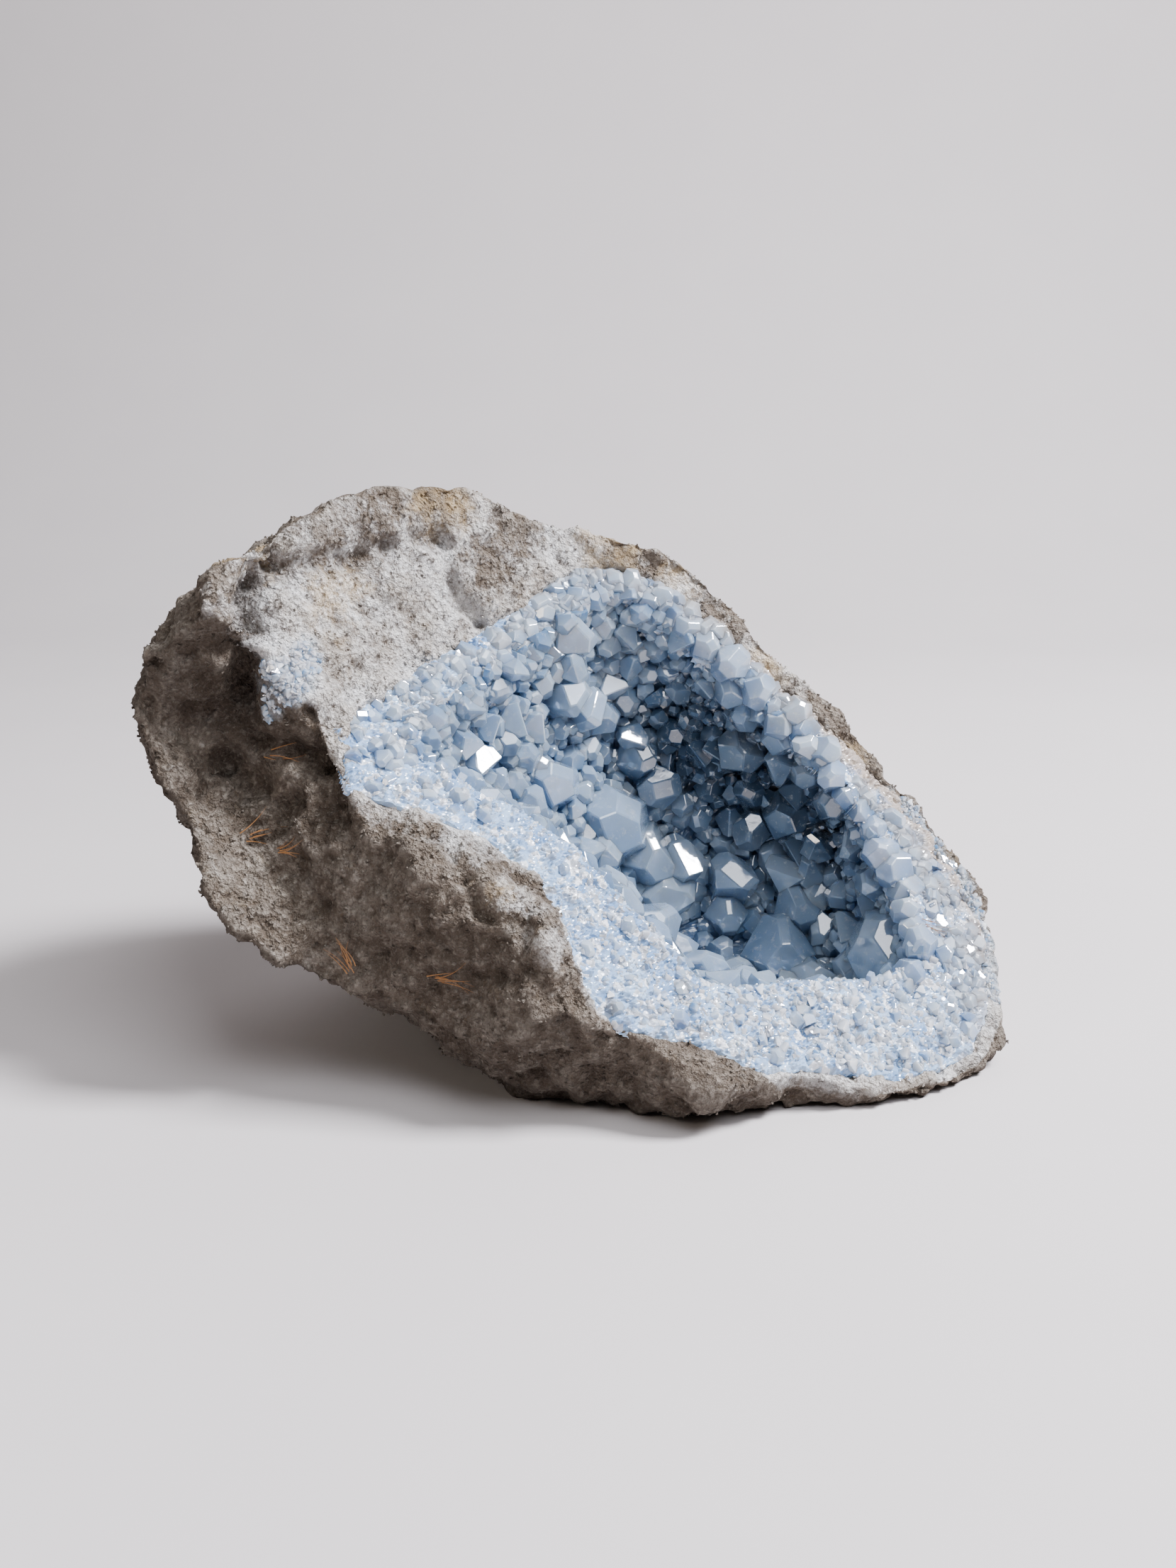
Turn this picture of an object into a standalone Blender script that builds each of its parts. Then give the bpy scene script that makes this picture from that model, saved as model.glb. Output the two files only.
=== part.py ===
"""A celestite geode broken open.

A boulder of pale limestone lies on its worn underside, its long axis along X and dipping to the right. A
break takes off its upper front right. In that face, a band of granular celestite surrounds the mouth of a
hollow, and blocky celestite crystals stand on the hollow's wall. X runs right, Y back and Z up. The origin
is on the ground, under the middle of the stone.
"""

import math
import random

import bmesh
import bpy
import numpy as np
from mathutils import Matrix, Vector, noise

MM = 0.001
SEED = 11
GAP = 0.4 * MM  # between the matrix and the crust, so that the two solids don't touch
SPARE = 60 * MM  # how far a cutter reaches past what it cuts

# Boulder: stations run along its long axis, from -1 at the left end to 1 at the right end
BOULDER_MIDDLE = 4 * MM
BOULDER_HALF_LENGTH = 120 * MM
AXIS_HEIGHT = 62 * MM  # of the long axis above the ground, at mid length
AXIS_DIP = 0.26  # fall of the long axis for each unit of X
SECTION_POWER = 2.25  # 2 is an ellipse, and more is boxier
END_POWERS = (2.2, 3.0)  # the same, for how the left and the right end close
STATIONS = (-1.0, -0.7, -0.4, -0.1, 0.2, 0.5, 0.8, 1.0)
# Reach of the section from the long axis in mm, at each station
REACH_UP = (65, 75, 86, 88, 84, 71, 50, 40)
REACH_DOWN = (56, 65, 62, 73, 75, 72, 69, 64)
REACH_FRONT = (58, 76, 69, 66, 64, 61, 60, 57)
REACH_BACK = (74, 82, 88, 88, 84, 70, 52, 40)

# Rock surface: each row is a noise's scale and height, in mm, and each bump a place and a size
ROCK_NOISE = ((34, 3.6), (15, 2.4), (8, 1.0))
# Station, turn about the long axis in degrees (0 back, 90 up, 180 front), radius and height in mm
BUMPS = (
    (-0.86, 160, 15, 4.0), (-0.62, 128, 20, 4.0), (-0.50, 165, 17, 3.0), (-0.33, 196, 22, 5.0),
    (-0.72, 202, 18, 3.5), (-0.15, 232, 20, 3.0), (-0.36, 250, 14, -2.5), (0.25, 214, 18, 3.0),
    (-0.76, 140, 8, -6.0), (-0.80, 158, 8, -6.0), (-0.66, 180, 9, -5.0), (-0.42, 178, 8, -3.5),
    (-0.42, 92, 19, 5.0), (0.02, 62, 14, -1.5), (0.26, 58, 22, 5.5), (0.20, 20, 22, 4.0),
    (-0.60, 30, 22, 3.5), (0.55, 350, 20, 3.0), (-0.2, 340, 26, 4.0), (0.92, 20, 16, 2.5),
    (-0.90, 222, 16, -5.0), (0.95, 62, 15, -5.0), (-0.60, 243, 12, -1.5), (-0.40, 302, 36, 20.0),
)
ROCK_SUBDIVISIONS = 5  # of the icosphere that becomes the boulder
MATRIX_DECIMATION = 0.15  # part of the triangles that is kept
CORE_SUBDIVISIONS = 3
SKIN = 5 * MM  # least matrix outside the crust

# Break: a face that looks up, right and to the front
BREAK_POINT = Vector((27.3, -10.7, 61.6)) * MM
BREAK_NORMAL = Vector((0.35, -0.6, 0.72)).normalized()
BREAK_ALONG = Vector((0.905, 0.016, -0.425))  # the face's long direction, before it is squared up
BREAK_SIZE = 320 * MM
BREAK_CELLS = 38
BREAK_CURL = 3.25 / 1000  # per mm: the face curls up as this times the square of the distance past CURL_START
CURL_START = 20 * MM
BREAK_NOISE = ((30, 1.6), (9, 0.9))
# Rock past the band: angle in degrees, its rise for each unit of distance from the band, and the radius in mm
# of the ridge, past which it falls away to the stone's front
PAST_BAND = (
    (78, 0.0, 200), (100, 0.22, 200), (120, 0.40, 200), (140, 0.53, 200), (168, 0.60, 200), (186, 0.52, 200),
    (190, 0.45, 118), (201, 0.2, 111), (207, 0.1, 100), (218, 0.0, 96), (231, 0.0, 83), (246, 0.0, 82),
    (256, 0.0, 86), (264, 0.0, 200),
)
RIDGE_FALL = 1.8  # for each unit of distance past the ridge
RIDGE_DEPTH = 34 * MM  # the most that the face falls past the ridge
# Rock left standing beside the band: place on the face, radius and height in mm
SHOULDERS = ((-52, -37, 11, 4.0), (-37, -41, 13, 8.0), (-22, -48, 12, 8.0))

# Hollow: angles turn from the face's long direction towards its upper side, about HOLLOW_CENTRE
HOLLOW_CENTRE = (20, 12)
# Angle in degrees, radius of the mouth and radius of the band's outer edge, in mm
OUTLINE = (
    (0, 54, 79), (18, 47, 67), (40, 42, 56), (60, 41, 50), (78, 42, 50), (92, 46, 54), (106, 53, 61),
    (120, 67, 75), (135, 83, 93), (150, 80, 90), (165, 82, 92), (178, 88, 102), (190, 95, 114),
    (200, 64, 108), (210, 51, 72), (222, 46, 62), (238, 44, 69), (250, 44, 74), (270, 48, 65),
    (285, 45, 68), (300, 43, 75), (320, 47, 80), (335, 54, 88), (348, 60, 86),
)
HOLLOW_DEPTH = 57 * MM
CRUST_UNDER_HOLLOW = 8 * MM
# The wall falls as sin^e and narrows as cos^e: e below 1 is steep, and near 2 is a cone
WALL_POWER = 1.25
WALL_POWER_SWING = 0.4
STEEP_SIDE = 15  # degrees, where the wall is steepest
UNDERCUT = 11 * MM  # how far the hollow widens below the mouth on its steep side
UNDERCUT_SIDE = 55
BOWL_SIDES = 36
BOWL_RINGS = 7

# Crystals: a six-sided prism under a roof, which on the larger ones is crossed by a second roof
PRISM_HALF_ANGLE = math.radians(38)
CRYSTAL_COUNT = 104
CRYSTAL_RADIUS = (3.6, 7.2)  # mm, near the mouth and deep in the hollow
CROSSED_ROOF_RADIUS = 5 * MM  # crystals from this radius up have both roofs and a small flat top
CRYSTAL_ROOT = 0.4  # part of its radius that a crystal is sunk into the wall
ROOT_MARGIN = 0.1 * MM  # how far a root may stand out of the back of the crust
CROWDING = 0.62  # least distance between two crystals, over the sum of their radii
BARE_SIDE = 262  # degrees: on this side, the front, no crystals stand on the upper part of the wall
BARE_LIP = 0.42  # how far down the wall that goes, as a share of the depth
TILT = 0.22  # how far a small crystal leans from the wall's own direction
# Large crystals: angle, depth along the wall (0 mouth, 1 bottom), radius in mm, length over radius, turn
LARGE_CRYSTALS = (
    (126, 0.50, 6.8, 1.5, 20), (146, 0.62, 12.0, 1.15, 50), (128, 0.74, 11.0, 1.2, 5),
    (112, 0.86, 9.0, 1.4, 65), (96, 0.77, 6.5, 2.4, 10), (54, 0.72, 8.0, 2.1, 40),
    (40, 0.50, 6.5, 2.0, 75), (24, 0.52, 7.5, 1.7, 30), (2, 0.64, 10.5, 1.5, 5),
    (350, 0.50, 8.0, 1.6, 55), (0, 0.16, 13.0, 0.9, 15), (90, 0.30, 7.5, 1.3, 45),
    (60, 0.34, 7.5, 1.2, 70), (146, 0.14, 6.5, 1.5, 35), (165, 0.45, 8.0, 1.1, 60),
    (300, 0.85, 7.0, 1.3, 25), (240, 0.70, 8.5, 1.6, 80), (205, 0.60, 8.0, 1.3, 15),
    (18, 0.10, 5.6, 1.3, 40), (34, 0.12, 5.2, 1.2, 10), (50, 0.10, 5.6, 1.3, 65), (66, 0.13, 5.2, 1.3, 30),
    (82, 0.10, 5.4, 1.2, 80), (104, 0.12, 5.6, 1.3, 20),
)
LARGE_LEAN = Vector((0.1, -0.3, 0.8))  # the large ones lean this way from the wall's own direction

MATERIALS = {  # colour as linear RGB, roughness and metallic
    "matrix": ((0.38, 0.31, 0.24), 0.95, 0.0),
    "crystal_crust": ((0.36, 0.47, 0.60), 0.25, 0.0),
}


def square_to(normal, direction):
    """Unit vector nearest to a direction, at a right angle to the normal."""
    return (direction - normal * direction.dot(normal)).normalized()


FACE_U = square_to(BREAK_NORMAL, BREAK_ALONG)
FACE_V = BREAK_NORMAL.cross(FACE_U)


def on_face(u, v, height=0.0):
    """Point at (u, v) on the break, a height above it. All are in metres."""
    return BREAK_POINT + FACE_U * u + FACE_V * v + BREAK_NORMAL * height


def add_to_scene(name, mesh):
    """Object that shows a mesh."""
    obj = bpy.data.objects.new(name, mesh)
    bpy.context.scene.collection.objects.link(obj)
    return obj


def new_object(name, bm):
    """Object that takes over a bmesh."""
    mesh = bpy.data.meshes.new(name)
    bm.normal_update()
    bmesh.ops.recalc_face_normals(bm, faces=bm.faces)
    bm.to_mesh(mesh)
    bm.free()
    return add_to_scene(name, mesh)


def apply_modifiers(obj):
    """Replace a mesh by what its modifiers make of it."""
    evaluated = obj.evaluated_get(bpy.context.evaluated_depsgraph_get())
    mesh = bpy.data.meshes.new_from_object(evaluated)
    obj.modifiers.clear()
    obj.data = mesh


def closed_volume(mesh):
    """Volume inside a mesh, in cubic metres, or 0 where its triangles don't close."""
    bm = bmesh.new()
    bm.from_mesh(mesh)
    bmesh.ops.triangulate(bm, faces=bm.faces[:])
    volume = bm.calc_volume() if all(edge.is_manifold for edge in bm.edges) else 0.0
    bm.free()
    return volume


def combine(obj, other, operation):
    """Cut or join two objects, and drop the second."""
    boolean = obj.modifiers.new(operation.lower(), "BOOLEAN")
    boolean.operation = operation
    boolean.solver = "EXACT"
    boolean.object = other
    apply_modifiers(obj)
    bpy.data.objects.remove(other)


def relief(point, layers):
    """Sum of noises at a point, each with its own scale and height in mm."""
    return sum(noise.noise(point / (scale * MM)) * height * MM for scale, height in layers)


def along_stations(station, reaches):
    """Reach at a station, on a smooth curve through the listed ones, in metres."""
    slopes = np.gradient(reaches, STATIONS)
    i = min(max(int(np.searchsorted(STATIONS, station)) - 1, 0), len(STATIONS) - 2)
    step = STATIONS[i + 1] - STATIONS[i]
    t = (station - STATIONS[i]) / step
    start = (1 + 2 * t) * (1 - t) ** 2 * reaches[i] + t * (1 - t) ** 2 * step * slopes[i]
    end = t * t * (3 - 2 * t) * reaches[i + 1] - t * t * (1 - t) * step * slopes[i + 1]
    return (start + end) * MM


def boulder_point(station, turn):
    """Point of the smooth boulder at a station and a turn about the long axis."""
    across = math.cos(turn)
    rise = math.sin(turn)
    end_power = END_POWERS[station > 0]
    size = max(0.0, 1 - abs(station) ** end_power) ** (1 / end_power)
    size *= (abs(across) ** SECTION_POWER + abs(rise) ** SECTION_POWER) ** (-1 / SECTION_POWER)
    reach_across = along_stations(station, REACH_BACK if across > 0 else REACH_FRONT)
    reach_rise = along_stations(station, REACH_UP if rise > 0 else REACH_DOWN)
    along = BOULDER_HALF_LENGTH * station
    height = AXIS_HEIGHT - AXIS_DIP * along + reach_rise * rise * size
    return Vector((BOULDER_MIDDLE + along, reach_across * across * size, height))


def add_rock_surface(bm, layers, inset):
    """Lumps, grooves and noise, along the normals."""
    bm.normal_update()
    centres = []
    for station, turn, radius, height in BUMPS:
        centres.append((boulder_point(station, math.radians(turn)), radius * MM, height * MM))
    moves = []
    for vert in bm.verts:
        height = relief(vert.co, layers) - inset
        for centre, radius, bump in centres:
            height += bump * math.exp(-((vert.co - centre).length / radius) ** 2)
        moves.append(vert.normal * height)
    for vert, move in zip(bm.verts, moves):
        vert.co += move


def make_boulder(name, subdivisions, layers, inset, kept):
    """The whole stone before it broke, or its inside at a depth of inset, flat where it lies."""
    bm = bmesh.new()
    bmesh.ops.create_icosphere(bm, subdivisions=subdivisions, radius=1)
    for vert in bm.verts:
        vert.co = boulder_point(vert.co.x, math.atan2(vert.co.z, vert.co.y))
    add_rock_surface(bm, layers, inset)
    boulder = new_object(name, bm)
    decimate = boulder.modifiers.new("facets", "DECIMATE")
    decimate.ratio = kept
    apply_modifiers(boulder)
    combine(boulder, make_ground(inset), "DIFFERENCE")
    return boulder


def make_ground(height):
    """Block up to a height, which cuts the flat underside."""
    bm = bmesh.new()
    bmesh.ops.create_cube(bm, size=2 * BREAK_SIZE, matrix=Matrix.Translation((0, 0, height - BREAK_SIZE)))
    return new_object("ground", bm)


def around_hollow(u, v):
    """Angle in degrees and distance of a place on the face from the hollow's centre."""
    u -= HOLLOW_CENTRE[0] * MM
    v -= HOLLOW_CENTRE[1] * MM
    return math.degrees(math.atan2(v, u)), math.hypot(u, v)


def around(table, angle, column):
    """Value of a table's column at an angle in degrees, with straight stretches between its rows."""
    return float(np.interp(angle, [row[0] for row in table], [row[column] for row in table], period=360))


def curl(v):
    """How far the face curls up from its plane towards its upper side, in metres."""
    return BREAK_CURL / MM * max(0.0, v - CURL_START) ** 2


def break_height(u, v):
    """Height of the broken face above its plane, in metres."""
    height = relief(on_face(u, v), BREAK_NOISE) + curl(v)
    angle, distance = around_hollow(u, v)
    past_band = max(0.0, distance - around(OUTLINE, angle, 2) * MM)
    past_ridge = max(0.0, distance - around(PAST_BAND, angle, 2) * MM)
    height += past_band * around(PAST_BAND, angle, 1) - min(RIDGE_FALL * past_ridge, RIDGE_DEPTH)
    height += relief(on_face(u, v), ROCK_NOISE) * min(1.0, past_band / (20 * MM))
    for shoulder_u, shoulder_v, radius, rise in SHOULDERS:
        away = math.hypot(u - shoulder_u * MM, v - shoulder_v * MM) / (radius * MM)
        height += rise * MM * math.exp(-away ** 2)
    return height


def make_broken_off():
    """All that the break took away: a block whose underside is the rough face."""
    bm = bmesh.new()
    bmesh.ops.create_grid(bm, x_segments=BREAK_CELLS, y_segments=BREAK_CELLS, size=BREAK_SIZE / 2)
    faces = bmesh.ops.extrude_face_region(bm, geom=bm.faces[:])
    top = {item for item in faces["geom"] if isinstance(item, bmesh.types.BMVert)}
    for vert in bm.verts:
        u, v, _ = vert.co
        height = BREAK_SIZE if vert in top else break_height(u, v)
        vert.co = on_face(u, v, height)
    bmesh.ops.triangulate(bm, faces=bm.faces[:])
    return new_object("broken_off", bm)


def bowl_point(angle, slope, column, extra_depth, undercut, grow=0.0):
    """Point of a bowl under the face. The slope goes from 0 at the face to 90 at the bottom, in degrees."""
    power = WALL_POWER - WALL_POWER_SWING * math.cos(math.radians(angle - STEEP_SIDE))
    fall = math.radians(slope)
    side = max(0.0, math.cos(math.radians(angle - UNDERCUT_SIDE)))
    radius = (around(OUTLINE, angle, column) * MM + grow) * max(0.0, math.cos(fall)) ** power
    radius += undercut * side * math.sin(2 * fall)
    depth = (HOLLOW_DEPTH + extra_depth + grow) * math.sin(fall) ** power
    u = HOLLOW_CENTRE[0] * MM + radius * math.cos(math.radians(angle))
    v = HOLLOW_CENTRE[1] * MM + radius * math.sin(math.radians(angle))
    return on_face(u, v, curl(v) * math.cos(fall) - depth)


def make_bowl(name, *shape):
    """Closed solid of a bowl, which stands above the face as a straight-sided plug."""
    bm = bmesh.new()
    angles = [360 * i / BOWL_SIDES for i in range(BOWL_SIDES)]
    rings = [[bm.verts.new(bowl_point(a, 0, *shape) + BREAK_NORMAL * SPARE) for a in angles]]
    for ring in range(BOWL_RINGS):
        rings.append([bm.verts.new(bowl_point(a, 90 * ring / BOWL_RINGS, *shape)) for a in angles])
    for upper, lower in zip(rings, rings[1:]):
        for i in range(BOWL_SIDES):
            j = (i + 1) % BOWL_SIDES
            bm.faces.new((upper[i], upper[j], lower[j], lower[i]))
    bm.faces.new(rings[0])
    bottom = bm.verts.new(bowl_point(0, 90, *shape))
    for i in range(BOWL_SIDES):
        bm.faces.new((rings[-1][i], rings[-1][(i + 1) % BOWL_SIDES], bottom))
    bmesh.ops.triangulate(bm, faces=bm.faces[:])
    return new_object(name, bm)


HOLLOW = (1, 0.0, UNDERCUT)
CRUST = (2, CRUST_UNDER_HOLLOW, UNDERCUT / 2)


def wall(angle, slope):
    """Point on the hollow's wall, and the direction out of it."""
    point = bowl_point(angle, slope, *HOLLOW)
    around = bowl_point(angle + 3, slope, *HOLLOW) - bowl_point(angle - 3, slope, *HOLLOW)
    down = bowl_point(angle, min(slope + 3, 90), *HOLLOW) - bowl_point(angle, max(slope - 3, 0), *HOLLOW)
    return point, around.cross(down).normalized()


def crystal_planes(rng, radius, length):
    """Faces of one crystal that grows along Z: each is a normal and its distance from the root's middle."""
    up = Vector((0, 0, 1))
    planes = []
    for side in (-1, 1):
        for lean_side in (-1, 1):
            normal = Vector((side * math.cos(PRISM_HALF_ANGLE), lean_side * math.sin(PRISM_HALF_ANGLE), 0))
            planes.append((normal, radius * rng.uniform(0.8, 1.0)))
        pitch = math.radians(rng.uniform(36, 50))
        roof = Vector((side, 0, 0)) * math.sin(pitch) + up * math.cos(pitch)
        planes.append((roof, length * rng.uniform(0.92, 1.05) * math.cos(pitch)))
        if radius > CROSSED_ROOF_RADIUS:
            pitch = math.radians(rng.uniform(28, 44))
            roof = Vector((0, side, 0)) * math.sin(pitch) + up * math.cos(pitch)
            planes.append((roof, length * rng.uniform(0.95, 1.15) * math.cos(pitch)))
    if radius > CROSSED_ROOF_RADIUS:
        planes.append((up, length * rng.uniform(0.78, 0.92)))
    return planes


def make_crystal(rng, place, direction, radius, length, turn):
    """One crystal: a block whose corners are taken off by the crystal's own flat faces."""
    part = bmesh.new()
    root = radius * CRYSTAL_ROOT
    block = Matrix.Diagonal((4 * radius, 2 * radius, length * 1.2 + root, 1))
    bmesh.ops.create_cube(part, size=1, matrix=Matrix.Translation((0, 0, (length * 1.2 - root) / 2)) @ block)
    for normal, distance in crystal_planes(rng, radius, length):
        geom = part.verts[:] + part.edges[:] + part.faces[:]
        foot = normal * distance
        cut = bmesh.ops.bisect_plane(part, geom=geom, plane_co=foot, plane_no=normal, clear_outer=True)
        edges = [item for item in cut["geom_cut"] if isinstance(item, bmesh.types.BMEdge)]
        if len(edges) > 2:
            bmesh.ops.edgeloop_fill(part, edges=edges)
    frame = direction.to_track_quat("Z", "Y").to_matrix().to_4x4()
    part.transform(Matrix.Translation(place) @ frame @ Matrix.Rotation(math.radians(turn), 4, "Z"))
    return new_object("crystal", part)


def lean(rng, direction):
    """Direction tipped a little to a random side."""
    tip = Vector((rng.gauss(0, 1), rng.gauss(0, 1), rng.gauss(0, 1)))
    return (direction + tip * TILT * rng.random()).normalized()


def random_place(rng):
    """Angle and depth on the wall, more often where the wall is wide."""
    widest = max(row[1] for row in OUTLINE)
    while True:
        angle = rng.uniform(0, 360)
        if rng.uniform(0, widest) < around(OUTLINE, angle, 1):
            bare = BARE_LIP * max(0.0, math.cos(math.radians(angle - BARE_SIDE)))
            return angle, math.asin(rng.uniform(0.08 + bare, 0.99)) / (math.pi / 2)


def make_crystals():
    """The crystals on the wall: the large ones, then smaller ones wherever there is room."""
    rng = random.Random(SEED)
    crystals = []
    taken = []
    for angle, depth, radius, stretch, turn in LARGE_CRYSTALS:
        point, out = wall(angle, 90 * depth)
        direction = (out + LARGE_LEAN).normalized()
        crystals.append(make_crystal(rng, point, direction, radius * MM, radius * stretch * MM, turn))
        taken.append((point, radius * MM))
    small, large = CRYSTAL_RADIUS
    while len(crystals) < CRYSTAL_COUNT:
        angle, depth = random_place(rng)
        radius = (small + (large - small) * depth) * rng.uniform(0.75, 1.25) * MM
        point, out = wall(angle, 90 * depth)
        if any((point - other).length < CROWDING * (radius + room) for other, room in taken):
            continue
        length = radius * rng.uniform(1.2, 2.0)
        crystals.append(make_crystal(rng, point, lean(rng, out), radius, length, rng.uniform(0, 180)))
        taken.append((point, radius))
    return crystals


def make_bed(name, grow):
    """Room that the crust fills in the boulder: a bowl, kept a skin's thickness inside the stone."""
    bed = make_bowl(name, *CRUST, grow)
    core = make_boulder("core", CORE_SUBDIVISIONS, ROCK_NOISE[:1], SKIN - grow, 1.0)
    combine(bed, core, "INTERSECT")
    return bed


def make_matrix():
    """Limestone boulder, with the break and the bed of the crust cut out of it."""
    matrix = make_boulder("matrix", ROCK_SUBDIVISIONS, ROCK_NOISE, 0.0, MATRIX_DECIMATION)
    combine(matrix, make_broken_off(), "DIFFERENCE")
    combine(matrix, make_bed("bed", GAP), "DIFFERENCE")
    return matrix


def make_crust():
    """Celestite: the granular band and the wall of the hollow, with the crystals grown from it."""
    crust = make_bed("crystal_crust", 0.0)
    combine(crust, make_bowl("hollow", *HOLLOW), "DIFFERENCE")
    combine(crust, make_broken_off(), "DIFFERENCE")
    room = make_bed("room", ROOT_MARGIN)
    for crystal in make_crystals():
        combine(crystal, add_to_scene("room_again", room.data), "INTERSECT")
        before = crust.data
        combine(crust, crystal, "UNION")
        if closed_volume(crust.data) < closed_volume(before):  # it met the crust along a single edge
            crust.data = before
    bpy.data.objects.remove(room)
    keep_largest(crust)
    return crust


def finish(obj):
    """Its own material, and flat shading on its facets."""
    colour, roughness, metallic = MATERIALS[obj.name]
    material = bpy.data.materials.new(obj.name)
    material.use_nodes = True
    shader = material.node_tree.nodes["Principled BSDF"]
    shader.inputs["Base Color"].default_value = (*colour, 1)
    shader.inputs["Roughness"].default_value = roughness
    shader.inputs["Metallic"].default_value = metallic
    obj.data.materials.clear()
    obj.data.materials.append(material)
    obj.data.shade_flat()


def keep_largest(obj):
    """Drop the pockets shut in between crystals, so that one closed body of triangles is left."""
    bm = bmesh.new()
    bm.from_mesh(obj.data)
    left = set(bm.verts)
    bodies = []
    while left:
        body = {left.pop()}
        front = set(body)
        while front:
            front = {edge.other_vert(vert) for vert in front for edge in vert.link_edges} - body
            body |= front
        left -= body
        bodies.append(body)
    bodies.sort(key=len)
    bmesh.ops.delete(bm, geom=[vert for body in bodies[:-1] for vert in body])
    bmesh.ops.triangulate(bm, faces=bm.faces[:])
    bm.to_mesh(obj.data)
    bm.free()


def put_on_origin(objects):
    """Move the stone so that the middle of its bounding box's base is the origin."""
    places = np.array([vert.co for obj in objects for vert in obj.data.vertices])
    low = places.min(axis=0)
    middle = (low + places.max(axis=0)) / 2
    for obj in objects:
        obj.data.transform(Matrix.Translation((-middle[0], -middle[1], -low[2])))


def main():
    for obj in list(bpy.data.objects):
        bpy.data.objects.remove(obj)
    stone = [make_matrix(), make_crust()]
    put_on_origin(stone)
    for obj in stone:
        finish(obj)


main()
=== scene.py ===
# %% [markdown]
# # A celestite geode
# A geode is a hollow in a boulder, lined with crystals that grew inwards. This one is celestite, strontium
# sulfate, in pale limestone. It was broken open on a slanting face, so one look shows four finishes:
# weathered rock outside, a fresher broken face, a white granular band where the celestite begins, and the
# crystals themselves, milky blue and half clear. The frame gives the stone's real size. Everything here is
# built round it.

# %% Load the frame
import math
import random

import bmesh
import bpy
import numpy as np
from mathutils import Matrix, Vector, noise
from mathutils.bvhtree import BVHTree


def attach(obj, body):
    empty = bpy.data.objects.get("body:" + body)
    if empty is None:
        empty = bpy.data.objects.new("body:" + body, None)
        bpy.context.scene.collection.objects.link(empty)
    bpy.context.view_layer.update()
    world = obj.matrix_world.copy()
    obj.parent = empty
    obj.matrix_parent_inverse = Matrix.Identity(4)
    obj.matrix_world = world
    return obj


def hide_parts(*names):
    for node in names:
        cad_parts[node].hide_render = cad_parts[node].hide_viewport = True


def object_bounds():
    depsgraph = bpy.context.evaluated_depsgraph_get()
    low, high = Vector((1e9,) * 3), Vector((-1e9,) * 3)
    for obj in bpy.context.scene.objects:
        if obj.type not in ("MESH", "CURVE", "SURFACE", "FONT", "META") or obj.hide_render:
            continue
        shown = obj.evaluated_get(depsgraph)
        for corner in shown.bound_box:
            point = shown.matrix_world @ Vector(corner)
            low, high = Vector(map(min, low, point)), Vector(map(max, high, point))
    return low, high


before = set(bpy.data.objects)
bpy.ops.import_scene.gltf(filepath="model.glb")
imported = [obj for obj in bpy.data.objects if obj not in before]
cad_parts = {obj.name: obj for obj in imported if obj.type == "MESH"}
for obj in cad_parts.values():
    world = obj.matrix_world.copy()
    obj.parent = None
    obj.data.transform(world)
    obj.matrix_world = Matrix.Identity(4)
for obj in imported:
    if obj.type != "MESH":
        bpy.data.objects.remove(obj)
cad_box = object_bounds()
print("the frame's nodes:", sorted(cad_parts))

# %% [markdown]
# ## The broken face
# The rock, the band and the crystals all meet on the face where the boulder broke, so its own axes come
# first: U along the face to its low end, V up the slope, and the normal out of it. A place on the stone is
# then a place on the face and a height above it, which is how the band and the hollow are laid out. The
# stone was laid out about the middle of its long axis, and ORIGIN is where that is in the frame.

# %% Axes of the broken face
MM = 0.001
ORIGIN = Vector((-3.362, -14.406, 0.0)) * MM
BREAK_POINT = Vector((27.3, -10.7, 61.6)) * MM
BREAK_NORMAL = Vector((0.35, -0.6, 0.72)).normalized()
LONG_WAY = Vector((0.905, 0.016, -0.425))
FACE_U = (LONG_WAY - BREAK_NORMAL * LONG_WAY.dot(BREAK_NORMAL)).normalized()
FACE_V = BREAK_NORMAL.cross(FACE_U)


def on_face(u, v, height=0.0):
    """Point at (u, v) on the break, a height above it, all in metres."""
    return BREAK_POINT + FACE_U * u + FACE_V * v + BREAK_NORMAL * height


print("the face looks up at", round(math.degrees(math.asin(BREAK_NORMAL.z))), "degrees")

# %% [markdown]
# ## The mouth, the band and the wall
# The hollow's mouth and the band's outer edge are two closed outlines round one centre. Each is a list of
# radii at a few angles, with straight stretches between. A second list says what the rock does past the
# band: how it rises, and how far out the ridge is where it falls away to the front. The wall falls from the
# mouth as a power of a sine and narrows as the same power of a cosine: a low power is a steep wall, and a
# high one is a cone.

# %% The rules that the hollow follows
HOLLOW_CENTRE = (20, 12)
# Angle in degrees, radius of the mouth and radius of the band's outer edge, in mm
OUTLINE = (
    (0, 54, 79), (18, 47, 67), (40, 42, 56), (60, 41, 50), (78, 42, 50), (92, 46, 54), (106, 53, 61),
    (120, 67, 75), (135, 83, 93), (150, 80, 90), (165, 82, 92), (178, 88, 102), (190, 95, 114),
    (200, 64, 108), (210, 51, 72), (222, 46, 62), (238, 44, 69), (250, 44, 74), (270, 48, 65),
    (285, 45, 68), (300, 43, 75), (320, 47, 80), (335, 54, 88), (348, 60, 86),
)
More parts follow.
